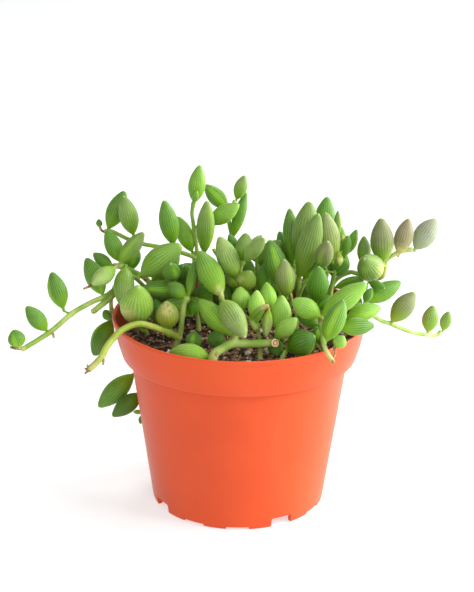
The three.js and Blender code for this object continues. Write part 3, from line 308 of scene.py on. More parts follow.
# Strings as the picture shows them, each from its hole in the mix. A point of a stem or fork is
# across, down and behind. A fork is its girth, its finish and its points. A leaf is its root's
# across and down, its tip's across and down, its width, and how far behind root and tip are. The
# part has all of them but the last three forks of front_left_string, the teeth of its dry end.
STRINGS = {
    "left_trail_string": dict(hole=(-38, 16), girth=2.6, looks="gggg", stem=[
        (140, 300, 14), (118, 290, 11), (106, 296, 5), (90, 303, -3), (72, 313.5, -12),
        (50, 332, -23), (21.5, 350, -33),
    ], forks=[
        (3.1, "stem", [(118, 290, 11), (105, 302, 3), (92, 312.5, -4)]),
        (1.3, "dry", [(24, 348, -32), (16, 348.5, -33), (10, 347, -33)]),
        (1.2, "dry", [(52, 330, -22), (53, 334, -22), (54, 338, -22)]),
    ], leaves=[
        (20, 349, 13.5, 329.5, 18, -33, -32), (48, 332, 26, 306, 17.5, -23, -25),
        (64, 311, 51.5, 271.5, 19.5, -10, -8), (104, 297, 86, 257.5, 20, 4, 18),
    ]),
    "left_low_string": dict(hole=(-31, 26), girth=2.6, looks="wsggsdvbd", stem=[
        (156, 292, 24), (146, 279, 22), (130, 270, 20), (118, 266, 17), (112, 267, 15),
    ], forks=[
        (1.3, "dry", [(95, 282, 0), (90, 286, -2), (83, 289, -3)]),
    ], leaves=[
        (117, 266, 92, 284.5, 17.5, 12, -2), (118, 265, 144, 232, 17, 13, 10),
        (122, 264, 106, 230, 17.5, 18, 22), (114, 270, 93, 253, 13, 18, 21),
        (126, 265, 122, 307, 21, 17, 1), (129, 273, 133, 243, 20, 22, 27),
        (138.5, 277, 181.5, 244.5, 28, 19, 14), (150, 283, 179.5, 255.5, 20, 24, 28),
        (148, 284, 175, 304, 15, 18, 9),
    ]),
    "left_round_string": dict(hole=(-42, 2), girth=2.2, looks="r", stem=[
        (140, 329, -2), (137, 325, -4),
    ], leaves=[
        (135, 326, 138.5, 286, 34, -4, 0),
    ]),
    "upper_left_string": dict(hole=(-17, 15), girth=2.2, looks="gsgg", stem=[
        (200, 285, 16), (200, 262, 17), (180, 252, 20), (160, 247, 23), (143, 244, 26),
        (128, 239, 29), (111, 231, 31), (104, 232, 31),
    ], forks=[
        (1.2, "dry", [(105, 232, 31), (101, 230, 31), (99.5, 225, 31)]),
    ], leaves=[
        (107, 231.5, 125, 190.5, 20, 32, 34), (134, 237, 123.5, 195.5, 19.5, 28, 27),
        (100, 228, 98.5, 219, 6.5, 31, 31), (174, 247, 164, 199.5, 19.5, 19, 15),
    ]),
    "tall_left_string": dict(hole=(-17, 28), girth=2, looks="bbbsb", stem=[
        (198, 275, 29), (197, 252, 29), (195, 235, 29), (193, 222, 29), (192, 212, 29),
        (194, 201, 29),
    ], leaves=[
        (194, 205, 200, 164.5, 17.5, 29, 28), (194, 203, 197, 191, 6.5, 26, 25),
        (193, 254, 177.5, 216, 17, 29, 32), (204, 257, 207, 200, 18.5, 26, 22),
        (207, 225, 239.5, 204, 18.5, 30, 29),
    ]),
    "centre_fork_string": dict(hole=(-8, -12), girth=2.4, looks="bwd", stem=[
        (219, 325, -12), (222, 299, -16), (220, 292, -15),
    ], leaves=[
        (223, 299, 199, 250.5, 25, -16, 3), (222, 299, 245.5, 338, 24, -17, -46),
        (226, 341, 207, 338, 18, -15, -16),
    ]),
    "top_middle_string": dict(hole=(-3, 36), girth=2.2, looks="sgg", stem=[
        (235, 268, 36), (233, 242, 36), (229, 222, 36), (230, 214, 36), (233, 207, 36),
        (235, 200, 36),
    ], leaves=[
        (236, 201, 245, 175, 13.5, 36, 36), (231.5, 241, 246.5, 191.5, 12.5, 35, 33),
        (229, 210, 204.5, 184.5, 17, 37, 40),
    ]),
    "centre_string": dict(hole=(2, 3), girth=1.8, looks="swwwdyo", stem=[
        (240, 310, 3), (240, 285, 4), (241, 270, 5), (243, 260, 6),
    ], leaves=[
        (243, 262, 246, 232.5, 18, 7, 8), (244, 261, 265, 238, 15, 6, 0),
        (248, 252, 262, 235, 10, 11, 13), (237, 281, 219, 236, 22, 3, -1),
        (237, 252, 229, 234, 10, 12, 14), (242, 290, 251, 271, 20, -1, -5),
        (240, 287.5, 228, 270, 18, 1.4, 11),
    ]),
    "front_cut_string": dict(hole=(-12, -43), girth=4.2, looks="bv", stem=[
        (214, 355, -41), (222, 349, -38), (232, 344, -34), (250, 344, -32), (277, 342.5, -31),
    ], forks=[
        (3.5, "stem", [(231, 345, -34), (234, 340, -32), (236, 335, -30)]),
    ], leaves=[
        (233, 337, 199, 299.5, 22, -29, -20), (212, 357, 170, 351, 21, -40, -34),
    ]),
    "front_sprout_string": dict(hole=(-20, -29), girth=1.8, looks="d", stem=[
        (191, 356, -28), (192, 350, -27),
    ], leaves=[
        (192, 351, 195, 331, 16, -26, -24),
    ]),
    "front_middle_string": dict(hole=(9, -26), girth=2.1, looks="vxbo", stem=[
        (260, 345, -25.5), (259, 337, -25), (257, 324, -24),
    ], forks=[
        (2.6, "stem", [
            (257, 330, -24.5), (251, 320, -25), (256, 313, -27), (263, 307.5, -29), (269, 307, -30),
        ]),
        (1.5, "dry", [(258, 338, -25), (254, 336, -26), (251, 332, -27)]),
    ], leaves=[
        (242, 312, 240, 286.5, 19, -15, -13), (256, 325, 257, 290, 17.5, -20, -20),
        (270, 316, 266.5, 282, 18, -16, -13), (269, 308, 265.5, 337, 10.5, -30, -36),
    ]),
    "front_right_string": dict(hole=(19, -20), girth=2.4, looks="vxd", stem=[
        (278, 348, -20.5), (277, 337, -22), (278, 330, -23),
    ], leaves=[
        (280, 336, 282, 295, 21, -23, -22), (275, 338, 297, 318, 17, -27, -35),
        (273, 338, 278, 356, 18, -20, -24),
    ]),
    "right_bright_string": dict(hole=(20, -3), girth=2.4, looks="gqd", stem=[
        (284, 320, -3), (284, 303, -2), (283, 293, -1),
    ], leaves=[
        (283, 291, 269, 239, 23, 2, 7), (287, 299, 284, 259, 20, -4, -9),
        (264, 299, 266, 261, 18, 2, 4),
    ]),
    "right_tall_string": dict(hole=(26, 10), girth=2.4, looks="gdssg", stem=[
        (297, 315, 10), (298, 300, 10), (299, 285, 11), (299, 270, 14),
    ], forks=[
        (1.6, "stem", [(298, 299, 10), (303, 287, 8), (308, 279, 7)]),
    ], leaves=[
        (293, 266, 289.5, 207.5, 17, 19, 27), (291, 262, 279, 231, 15, 22, 27),
        (302, 267, 309.5, 200.5, 28, 17, 20), (298, 282, 319, 213, 24, 8, 5),
        (303, 282, 318, 247, 16, 13, 16),
    ]),
    "right_purple_string": dict(hole=(38, 12), girth=2.2, looks="qgsspdggbc", stem=[
        (328, 315, 12), (331, 290, 12), (335, 270, 13), (338, 256, 15), (341, 247, 17),
        (343, 236, 19),
    ], leaves=[
        (333, 264, 325.5, 212, 22, 13, 13), (322, 243, 327.5, 196, 21, 21, 26),
        (337, 242, 338, 210, 8, 19, 21), (343, 247, 341, 226, 8, 19, 21),
        (320, 270, 328, 241, 19, 6, 3), (346, 251, 331, 276, 24, 17, 15),
        (346, 256, 357, 229, 11, 21, 23), (345, 257, 348, 235, 10, 17, 17),
        (343, 246, 343, 235, 5.5, 16, 16), (339, 252, 339.5, 266, 8, 9, 3),
    ]),
    "right_dark_string": dict(hole=(34, -4), girth=2.2, looks="dd", stem=[
        (316, 325, -3), (316, 306, -2),
    ], leaves=[
        (316, 304, 319, 266, 23, -2, -4), (317, 308, 332, 296, 13, -2, 3),
    ]),
    "right_front_string": dict(hole=(37, -22), girth=2.3, looks="bbgbgdd", stem=[
        (324, 342, -23), (322, 326, -27), (321.5, 318, -31), (322, 330, -38), (323, 341, -43),
        (325, 348, -46), (328, 354, -48), (334, 363, -49),
    ], forks=[
        (1.2, "dry", [(334, 346, -46), (335, 353, -47.5), (333, 359, -48)]),
    ], leaves=[
        (322, 318, 292, 300, 21, -31, -33), (319, 318, 367.5, 282.5, 22, -30, -25),
        (324, 344, 344, 299.5, 22, -42, -37), (335, 348, 344, 336, 14, -45, -44),
        (337, 328, 375, 325.5, 18.5, -35, -31), (318, 325, 297, 312, 16, -24, -22),
        (316, 344, 318, 327, 14, -15, -12),
    ]),
    "low_right_string": dict(hole=(18, -32), girth=2.2, looks="d", stem=[
        (283, 356, -31), (286, 351, -29),
    ], leaves=[
        (286, 350, 315.5, 336, 29, -28, -29),
    ]),
    "right_upper_string": dict(hole=(37, 25), girth=2.3, looks="spskzg", stem=[
        (322, 305, 25), (335, 281, 24), (349, 272.5, 22), (357, 273.5, 21), (372, 277, 20),
        (381, 278, 19), (385, 270, 19), (386, 261, 19), (392, 256, 19), (400, 252, 19),
        (413, 249, 19),
    ], leaves=[
        (364, 268, 364, 235.5, 14, 22, 23), (383, 266, 381, 217.5, 24, 17, 15),
        (375.5, 276.5, 364, 258, 28, 16, 3), (398, 257, 409, 218, 19, 19, 19),
        (413.5, 251.5, 436, 218.5, 22.5, 19, 18), (333, 288, 366, 278, 12, 20, 14),
    ]),
    "right_lower_string": dict(hole=(42, -6), girth=2, looks="pssgdgbd", stem=[
        (338, 325, -6), (345, 310, -7), (352, 307, -8), (360, 309, -8), (370, 314, -6),
        (382, 321, 0), (390, 323.5, 4), (400, 328, 10), (415, 333, 18), (430, 335, 27),
        (437, 335, 30), (441, 331, 32),
    ], leaves=[
        (390, 324, 415, 292, 21, 3, 6), (427.5, 334, 433, 305, 17, 25, 27),
        (442.5, 332, 449, 311, 12, 32, 33), (364, 303, 401.5, 281.5, 18.5, -3, 4),
        (368, 282, 385, 288.5, 10, 0, 2), (364, 303, 372, 288, 10, -5, -3),
        (344, 318, 381.5, 307, 18, -18, -14), (349, 310, 361, 298, 14, -8, -4),
    ]),
    "front_left_string": dict(hole=(-28, -11), girth=2.7, looks="cgdddg", stem=[
        (180, 335, -11), (182, 318, -9.5), (184, 305, -8), (188, 296, -7),
    ], forks=[
        (3.2, "bare", [
            (180, 338, -11), (165, 331, -14), (150, 326, -17), (140, 324, -20), (130, 326, -24),
            (120, 331.5, -28), (112, 340, -32), (106, 348, -34), (102, 356, -35), (95, 364, -36),
            (87, 371, -37),
        ]),
        (1.2, "dry", [(103, 355, -35), (103.5, 360, -35.5), (103, 365, -36)]),
        (1.0, "dry", [(90, 368.5, -36.6), (88, 366.5, -37), (87, 364.5, -37.3)]),
        (0.9, "dry", [(88.5, 370, -37), (86, 369.5, -37.4), (85, 368, -37.6)]),
        (1.2, "dry", [(88.5, 370.5, -36.8), (86, 372.5, -37.4), (85, 374, -37.8)]),
    ], leaves=[
        (169, 331, 166, 301, 24, -13, -13), (187, 299, 168, 283, 16, -7, -4),
        (163, 324, 155, 299, 13, -4, 1), (192, 316, 197, 297, 15, -2, 4),
        (212, 301, 197, 287, 16, 4, 9), (188, 299, 195, 260, 10, -7, 1),
    ]),
    "hanging_string": dict(hole=(-34, 32), girth=2.1, looks="dmgmbg", stem=[
        (146, 288, 30), (131, 276, 29), (117, 283, 27), (111, 300, 25), (114, 320, 25),
        (122, 340, 26), (134, 364, 26), (142, 391, 22), (143, 413, 18),
    ], leaves=[
        (112, 312, 103, 318, 12, 21, 18), (112.5, 318, 93.5, 356, 22, 22, 20),
        (136, 372, 98, 407.5, 21, 25, 21), (143, 392, 112, 416.5, 18, 18, 16),
        (143, 412, 133, 412, 5, 18, 17), (143, 414, 140, 424, 6, 18, 17),
    ]),
}

# Places where a string is scarred brown or bleached to cream: across, down, reach and which
MARKS = {
    "left_trail_string": [(51, 333, 2, "brown"), (22, 349, 4, "cream")],
    "left_low_string": [(143, 281, 3.5, "brown"), (118, 266, 5, "cream"), (154, 286, 4, "cream")],
    "left_round_string": [(127, 314, 9, "cream")],
    "centre_fork_string": [
        (221, 294, 6, "cream"), (219, 284, 2.3, "brown"), (218, 287, 3, "cream"),
    ],
    "centre_string": [(240, 280, 4, "cream")],
    "front_cut_string": [(216, 354, 3, "brown"), (236, 340, 3, "cream")],
    "front_middle_string": [
        (268, 308, 3.5, "brown"), (264, 306, 5, "cream"), (257, 331, 3, "brown"),
    ],
    "right_purple_string": [(340, 260, 3.5, "cream"), (343, 238, 3, "cream")],
    "right_front_string": [
        (334, 362, 3.5, "brown"), (329, 352, 9, "cream"), (321, 320, 2.5, "brown"),
    ],
    "right_upper_string": [
        (384, 270, 7, "cream"), (400, 253, 9, "cream"), (379, 279, 2.5, "brown"),
    ],
    "right_lower_string": [(346, 311, 3, "brown"), (430, 334, 3, "cream")],
    "front_left_string": [
        (166, 310, 7, "cream"), (163, 303, 1.5, "brown"), (168, 305, 1.7, "brown"),
        (165, 309, 1.6, "brown"), (170, 311, 1.3, "brown"), (161, 310, 1.3, "brown"),
        (93, 366, 8, "cream"), (86, 372, 5.5, "brown"),
    ],
}

# Cut ends: where the face is, its radius in millimetres, and the place behind it on the stem's line
CUT_ENDS = {
    "front_cut_string": ((275, 343, -33), 1.75, (270, 343, -29)),
}

# The cut face's rings from its side to its middle: radius and rise, as shares of its radius
CUT_RINGS = ((0.98, -0.6), (1.04, 0.02), (0.9, 0.2), (0.5, 0.22), (0.15, 0.16))
CUT_SIDES = 24

scene = bpy.context.scene


# Places

def unit(vector):
    return vector / np.linalg.norm(vector)


def spot(x, y, z):
    return np.array([x, y, z], dtype=float)


RIGHTWARD = spot(1, 0, 0)
FORWARD = spot(0, math.cos(ABOVE), -math.sin(ABOVE))
UPWARD = spot(0, math.sin(ABOVE), math.cos(ABOVE))
EYE = spot(AIM_X, 0, AIM_Z) - FORWARD * AWAY


def seen(across, down, behind):
    """The point that the picture shows there, so many millimetres behind the pot's axis."""
    turned = across - PICTURE_WIDE / 2
    raised = PICTURE_HIGH / 2 - down
    ray = FORWARD * FOCAL + RIGHTWARD * (turned * math.cos(TILT) - raised * math.sin(TILT))
    ray = ray + UPWARD * (turned * math.sin(TILT) + raised * math.cos(TILT))
    return EYE + ray * ((behind - EYE[1]) / ray[1])


def pictured(points):
    """Where the picture shows points given in millimetres."""
    offset = np.asarray(points, dtype=float) - EYE
    scale = FOCAL / (offset @ FORWARD)
    turned, raised = (offset @ RIGHTWARD) * scale, (offset @ UPWARD) * scale
    across = PICTURE_WIDE / 2 + turned * math.cos(TILT) + raised * math.sin(TILT)
    down = PICTURE_HIGH / 2 + turned * math.sin(TILT) - raised * math.cos(TILT)
    return across, down


def unit_at(point):
    """How many millimetres one unit of the picture is at a point."""
    return (point - EYE) @ FORWARD / FOCAL


def between(low, high, share):
    return low + (high - low) * share


def square_to(heading, near):
    """Two directions square to a heading, the first of them towards another one."""
    side = unit(near - heading * (near @ heading))
    return side, np.cross(heading, side)


# Smooth lines through points

def line_at(points, shares):
    """Points of the smooth line through the given ones, by its own count from 0 to 1."""
    points = np.asarray(points, dtype=float)
    ends = np.vstack([2 * points[0] - points[1], points, 2 * points[-1] - points[-2]])
    place = np.asarray(shares, dtype=float) * (len(points) - 1)
    index = np.minimum(np.floor(place).astype(int), len(points) - 2)
    part = (place - index)[:, None]
    before, start, end, after = (ends[index + k] for k in range(4))
    leave, arrive = (end - before) / 2, (after - start) / 2
    bend = (2 * start - 2 * end + leave + arrive) * part + 3 * (end - start) - 2 * leave - arrive
    return start + part * (leave + part * bend)


def line_counts(points, lengths):
    """The line's own count at shares of its length, and its length."""
    counts = np.linspace(0, 1, LINE_STEPS + 1)
    steps = np.linalg.norm(np.diff(line_at(points, counts), axis=0), axis=1)
    run = np.concatenate([[0], np.cumsum(steps)])
    return np.interp(np.asarray(lengths, dtype=float) * run[-1], run, counts), run[-1]


def line_along(points, lengths):
    return line_at(points, line_counts(points, lengths)[0])


def heading_at(points, length):
    count = line_counts(points, [length])[0][0]
    near = [max(0, count - HEADING_REACH), min(1, count + HEADING_REACH)]
    first, second = line_at(points, near)
    return unit(second - first)


def spine_of(points):
    """The middle line in straight steps, which the part's stems follow."""
    steps = max(2, math.floor(line_counts(points, [1])[1] / STEM_STEP + 0.5))
    return line_along(points, np.linspace(0, 1, steps + 1))


def joint_on(spines, place):
    """The point on middle lines nearest to a place, and short of their ends."""
    best, nearest = None, math.inf
    for spine in spines:
        for k in range(len(spine) - 1):
            run = spine[k + 1] - spine[k]
            last = 1 - STEM_END / np.linalg.norm(run) if k + 2 == len(spine) else 1
            share = min(last, max(0, (place - spine[k]) @ run / (run @ run)))
            point = spine[k] + run * share
            far = np.linalg.norm(place - point)
            if far < nearest:
                best, nearest = point, far
    return best


# Where the part's leaves are

def plumpness(share):
    """A leaf's half-width at a share of its length: 0 at its stalk and point, 1 at its widest."""
    along = max(0, (share - SWELL_FROM) / (1 - SWELL_FROM))
    bluntness = between(STALK_BLUNTNESS, POINT_BLUNTNESS, along)
    return max(0, math.sin(math.pi * along ** SWELL_SKEW)) ** bluntness


def leaf_sides(root, tip):
    """A leaf's two directions across, the first of them square to the view."""
    axis = tip - root
    side = unit(np.cross(axis, FORWARD))
    return side, unit(np.cross(axis, side))


def corners_of(node):
    """The corners of a CAD node in millimetres, to look places up in."""
    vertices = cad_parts[node].data.vertices
    tree = kdtree.KDTree(len(vertices))
    for k, vertex in enumerate(vertices):
        tree.insert(vertex.co / MM, k)
    tree.balance()
    return tree


def holds(corners, point):
    return corners.find(Vector(point))[2] < SAME_PLACE


def ring_held(corners, root, tip, wide):
    """How many corners of a leaf's middle ring the part has."""
    share = BROAD_RING if wide > BROAD_WIDTH else BUD_RING if wide < BUD_WIDTH else SLIM_RING
    side, normal = leaf_sides(root, tip)
    half = max(LEAST_STALK, wide * STALK_SHARE, wide / 2 * plumpness(share))
    middle = between(root, tip, share)
    count = 0
    for k in range(RING_SIDES):
        angle = 2 * math.pi * k / RING_SIDES
        point = middle + side * half * math.cos(angle) + normal * half * FLATNESS * math.sin(angle)
        count += holds(corners, point)
    return count


def find_leaf(corners, leaf):
    """The picture's leaf, turned and slimmed as the part has it."""
    root_across, root_down, tip_across, tip_down, wide, root_behind, tip_behind = leaf
    best = (-1, seen(*leaf[:2], root_behind), seen(*leaf[2:4], tip_behind), wide)
    for tip_turn in TIP_TURNS:
        tip = seen(tip_across, tip_down, tip_behind + tip_turn)
        if not holds(corners, tip):
            continue
        for root_turn in ROOT_TURNS:
            root = seen(root_across, root_down, root_behind + root_turn)
            for slim in SLIMMER:
                true_wide = wide * slim * unit_at((root + tip) / 2)
                held = ring_held(corners, root, tip, true_wide)
                if held > best[0]:
                    best = (held, root, tip, true_wide)
    return best[1:]


def dice(seed):
    """Drawn shares from 0 to 1, the same ones as the part's."""
    state = seed
    while True:
        state = (state * DICE_FACTOR + DICE_STEP) % DICE_SIDES
        yield state / DICE_SIDES


def far_points(index, rolls):
    """A drawn far stem from the mix up, as in the part."""
    share = (index + 0.5) / FAR_STRINGS
    sway = between(-FAR_SWAY, FAR_SWAY, next(rolls)) / 2
    angle = math.radians(between(FAR_FROM, FAR_TO, share) + sway)
    turn = between(-FAR_TURN, FAR_TURN, next(rolls))
    foot = between(*FAR_FOOT, next(rolls))
    top = (between(*FAR_REACH, next(rolls)), between(*FAR_HEIGHT, next(rolls)))

    def at(more, height, twist):
        reach = foot + more
        return spot(reach * math.cos(angle + twist), reach * math.sin(angle + twist), height)

    rise = [at(more, height, turn * k) for k, (more, height) in enumerate((*FAR_RISE, top))]
    sprout = at(0, SOIL_LEVEL + SPROUT, 0)
    return [sprout, *rise]


def far_leaf(corners, root, heading, rolls):
    """The first drawn leaf that the part has, if any."""
    side, normal = square_to(heading, UPWARD)
    long = between(*LEAF_LENGTH, next(rolls))
    wide = long * between(*LEAF_SLIMNESS, next(rolls))
    for attempt in range(FAR_TRIES):
        angle = 2 * math.pi * next(rolls)
        out = heading * between(*LEAF_LEAN, next(rolls))
        out = out + side * math.cos(angle) + normal * math.sin(angle) + spot(0, 0, LEAF_LIFT)
        slim = 1 if attempt < FAR_TRIES / 2 else LATE_SLIMMER
        tip = root + unit(out) * long * slim
        if holds(corners, tip):
            return root, tip, wide * slim
    return None


def far_string(index, corners, rolls):
    """The stem and leaves of a far string, from the first drawn stem that the part has."""
    for _ in range(FAR_TRIES):
        points = far_points(index, rolls)
        foot = points[0].copy()
        foot[2] = SOIL_LEVEL - ROOT_DEPTH
        if not holds(corners, foot):
            continue
        length = line_counts(points, [1])[1]
        spine = spine_of(points)
        leaves = []
        along = FIRST_LEAF
        while along <= length:
            root = joint_on([spine], line_along(points, [along / length])[0])
            leaf = far_leaf(corners, root, heading_at(points, along / length), rolls)
            if leaf:
                leaves.append(leaf)
            along += LEAF_SPACING
        return points, leaves
    raise ValueError("the part has no such far string")


# Modelling

def deselect():
    bpy.ops.object.select_all(action="DESELECT")


def pick(*pieces):
    """Selects the pieces only, with the first one active."""
    deselect()
    for piece in pieces:
        piece.select_set(True)
    bpy.context.view_layer.objects.active = pieces[0]


def fixed():
    """The piece just added, at the origin with its place, turn and scale in its mesh."""
    bpy.ops.object.transform_apply(location=True, rotation=True, scale=True)
    return bpy.context.object


def modify(piece, name, kind, **settings):
    """Adds a modifier and applies it."""
    modifier = piece.modifiers.new(name, kind)
    for setting, value in settings.items():
        setattr(modifier, setting, value)
    bpy.context.view_layer.objects.active = piece
    bpy.ops.object.modifier_apply(modifier=modifier.name)


def smooth(piece, degrees):
    """Smooth shading, but for edges that turn by more than the angle."""
    pick(piece)
    bpy.ops.object.shade_smooth_by_angle(angle=math.radians(degrees))


def grown_rings(name, sides, rings, pointed_end=False):
    """A round piece on the Z axis: a disc, pushed out ring by ring as (radius, height)."""
    (radius, height), *others = rings
    deselect()
    bpy.ops.mesh.primitive_circle_add(vertices=sides, radius=radius, fill_type="NGON",
                                      location=(0, 0, height))
    piece = fixed()
    piece.name = name
    pick(piece)
    bpy.ops.object.mode_set(mode="EDIT")
    bpy.ops.mesh.select_all(action="SELECT")
    for next_radius, next_height in others:
        rise = (0, 0, next_height - height)
        bpy.ops.mesh.extrude_region_move(TRANSFORM_OT_translate={"value": rise})
        grow = next_radius / radius
        bpy.ops.transform.resize(value=(grow, grow, 1), center_override=(0, 0, next_height))
        radius, height = next_radius, next_height
    if pointed_end:
        bpy.ops.mesh.merge(type="CENTER")
    bpy.ops.mesh.select_all(action="SELECT")
    bpy.ops.mesh.normals_make_consistent(inside=False)
    bpy.ops.object.mode_set(mode="OBJECT")
    return piece


def coordinates(mesh):
    places = np.empty(len(mesh.vertices) * 3)
    mesh.vertices.foreach_get("co", places)
    return places.reshape(-1, 3)


def set_coordinates(mesh, places):
    mesh.vertices.foreach_set("co", np.asarray(places, dtype=float).ravel())
    mesh.update()


def wrap_around(mesh):
    """A UV map round the Z axis and up it, with its seam along one side."""
    places = coordinates(mesh)
    low, high = places[:, 2].min(), places[:, 2].max()
    layer = mesh.uv_layers.new(name="wrap")
    for face in mesh.polygons:
        turns = []
        for corner in face.vertices:
            x, y, _ = places[corner]
            on_axis = math.hypot(x, y) < ON_AXIS
            turns.append(None if on_axis else math.atan2(y, x) / (2 * math.pi) % 1)
        known = [turn for turn in turns if turn is not None]
        if known and max(known) - min(known) > 0.5:
            turns = [turn + 1 if turn is not None and turn < 0.5 else turn for turn in turns]
            known = [turn for turn in turns if turn is not None]
        middle = sum(known) / len(known) if known else 0.5
        for loop, corner, turn in zip(face.loop_indices, face.vertices, turns):
            up = (places[corner][2] - low) / (high - low)
            layer.data[loop].uv = (middle if turn is None else turn, up)


def stalk_width(wide):
    return max(LEAST_STALK, wide * STALK_SHARE)


def model_leaf():
    """One leaf of half-width 1 and length 1, with its stalk below 0 and a small point at 1."""
    stalk = STALK_SHARE * 2
    rings = [(stalk, -1), (stalk * STALK_WAIST[0], STALK_WAIST[1])]
    for share in LEAF_SHARES:
        late = max(0, (share - POINTED_FROM) / (1 - POINTED_FROM))
        radius = plumpness(share) * (1 - POINTED * late ** POINTED_POWER)
        rings.append((max(stalk * (1 - share), radius), share))
    leaf = grown_rings("leaf", LEAF_SIDES, [*rings, *SPIKE_RINGS], pointed_end=True)
    wrap_around(leaf.data)
    return leaf


def copied(master, name):
    """A copy of a modelled piece with its own mesh."""
    piece = master.copy()
    piece.data = master.data.copy()
    piece.name = name
    bpy.context.collection.objects.link(piece)
    return piece


def paint(mesh, name, values):
    layer = mesh.attributes.new(name, "FLOAT_COLOR", "POINT")
    layer.data.foreach_set("color", np.tile(values, len(mesh.vertices)).astype(float))


def grow_leaf(master, root, tip, wide, joint, look, chance):
    """A copy of the leaf, laid from its joint on the stem through its root to its tip."""
    piece = copied(master, "leaf")
    places = coordinates(piece.data)
    axis = tip - root
    long = np.linalg.norm(axis)
    side, normal = leaf_sides(root, tip)
    up = places[:, 2]
    share = np.clip(up, 0, 1)[:, None]
    radius = np.hypot(places[:, 0], places[:, 1])
    least = np.where((up < 0.5) & (radius > ON_AXIS), stalk_width(wide) / (wide / 2), 0)
    grow = np.maximum(1, least / np.maximum(radius, ON_AXIS))[:, None]
    plump = 1 + chance.uniform(-PLUMPER, PLUMPER) * np.sin(np.pi * share * 2)
    across = places[:, :1] * grow * plump * wide / 2
    deep = places[:, 1:2] * grow * plump * wide / 2 * FLATNESS
    bow = chance.uniform(-BOWED, BOWED) * long * 4 * share * (1 - share)
    middle = root + axis * share + normal * bow
    stalk = np.clip(-up, 0, 1)[:, None]
    middle = middle + (joint - root) * stalk
    set_coordinates(piece.data, (middle + side * across + normal * deep) * MM)
    turn = chance.uniform(0, 1)
    for loop in piece.data.uv_layers["wrap"].data:
        loop.uv.x += turn
    # For some letters the look's green is lightened or darkened as painted light or shade
    tone, *marks = LEAF_LOOKS[look]
    shade = chance.uniform(*SHADES)
    paint(piece.data, "leaf_colour", (*(part * shade for part in tone), 1))
    paint(piece.data, "leaf_marks", marks)
    return piece


def weather(mesh, marks):
    """Paints how brown (red) and how bleached (green) a string's skin is."""
    across, down = pictured(coordinates(mesh) / MM)
    brown, cream = np.zeros(len(across)), np.zeros(len(across))
    for mark_across, mark_down, reach, kind in marks:
        near = np.exp(-((across - mark_across) ** 2 + (down - mark_down) ** 2) / reach ** 2)
        shares = brown if kind == "brown" else cream
        np.maximum(shares, near, out=shares)
    layer = mesh.attributes.new("wear", "FLOAT_COLOR", "POINT")
    values = np.stack([brown, cream, brown * 0, brown * 0 + 1], axis=1)
    layer.data.foreach_set("color", values.ravel())


def grow_stem(points, girth, rooted, swellings, finish):
    """A tapering stem along the smooth line, thicker where leaves join it, with a rounded end."""
    length = line_counts(points, [1])[1]
    steps = max(LEAST_STEPS, round(length / STEM_DRAW_STEP))
    places = line_along(points, np.linspace(0, 1, steps + 1))
    radii = girth / 2 * (1 - STEM_TAPER * np.linspace(0, 1, steps + 1))
    for swelling in swellings:
        far = np.linalg.norm(places - swelling, axis=1)
        radii = radii * (1 + SWELLING * np.exp(-((far / SWELLING_REACH) ** 2)))
    if rooted:
        foot = places[0] - spot(0, 0, ROOT_DEPTH - SPROUT)
        places, radii = np.vstack([foot, places]), np.concatenate([radii[:1], radii])
    heading = unit(places[-1] - places[-2])
    end = radii[-1]
    places = np.vstack([places[:-1], places[-1] - heading * end * END_STEP, places[-1]])
    radii = np.concatenate([radii[:-1], [end * share for share in END_RADII]])
    curve = bpy.data.curves.new("stem", "CURVE")
    curve.dimensions = "3D"
    curve.bevel_depth = MM
    curve.bevel_resolution = STEM_ROUNDNESS
    curve.use_fill_caps = True
    spline = curve.splines.new("POLY")
    spline.points.add(len(places) - 1)
    for point, place, radius in zip(spline.points, places, radii):
        point.co = (*(place * MM), 1)
        point.radius = radius
    stem = bpy.data.objects.new("stem", curve)
    bpy.context.collection.objects.link(stem)
    stem.data.materials.append(finish)
    return stem


def cut_end(face, radius, behind):
    """The flat face of a cut stem, with its share of the way from middle to rim as an attribute."""
    rings = [(wide * radius, rise * radius) for wide, rise in CUT_RINGS]
    piece = grown_rings("cut", CUT_SIDES, rings)
    places = coordinates(piece.data)
    ring = piece.data.attributes.new("ring", "FLOAT", "POINT")
    ring.data.foreach_set("value", np.hypot(places[:, 0], places[:, 1]) / radius)
    end, start = seen(*face), seen(*behind)
    heading = unit(end - start)
    side, normal = square_to(heading, UPWARD)
    turned = places[:, :1] * side + places[:, 1:2] * normal + places[:, 2:] * heading
    set_coordinates(piece.data, (turned + end) * MM)
    piece.data.materials.append(FINISHES["cut"])
    return piece


def joined(name, pieces):
    """Several pieces made one mesh at the origin."""
    pick(*pieces)
    bpy.ops.object.convert(target="MESH")
    bpy.ops.object.join()
    whole = bpy.context.object
    whole.name = name
    whole.data.name = name
    return whole


def keep_in_box(mesh):
    """Bends and swellings stay within the part's own reach."""
    places = coordinates(mesh)
    set_coordinates(mesh, np.clip(places, np.array(cad_low), np.array(cad_high)))


def settle(piece, slot, *nodes):
    """Gives a finished piece its body and hides the part's nodes that it stands for; its slot is
    not used.
    """
    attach(piece, "root")
    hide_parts(*nodes)


def grow_string(name, stems, leaves, looks, master, chance):
    """All of a string as one piece: stems are (points, girth, rooted, finish)."""
    spines = [spine_of(points) for points, *_ in stems]
    joints = [joint_on(spines, root) for root, *_ in leaves]
    pieces = []
    for points, girth, rooted, finish in stems:
        pieces.append(grow_stem(points, girth, rooted, joints, FINISHES[finish]))
    for (root, tip, wide), joint, look in zip(leaves, joints, looks):
        piece = grow_leaf(master, root, tip, wide, joint, look, chance)
        piece.data.materials.append(FINISHES["leaf"])
        pieces.append(piece)
    if name in CUT_ENDS:
        pieces.append(cut_end(*CUT_ENDS[name]))
    whole = joined(name.replace("_string", "_foliage"), pieces)
    keep_in_box(whole.data)
    weather(whole.data, MARKS.get(name, []))
    bpy.ops.object.shade_smooth()
    settle(whole, "foliage", name)


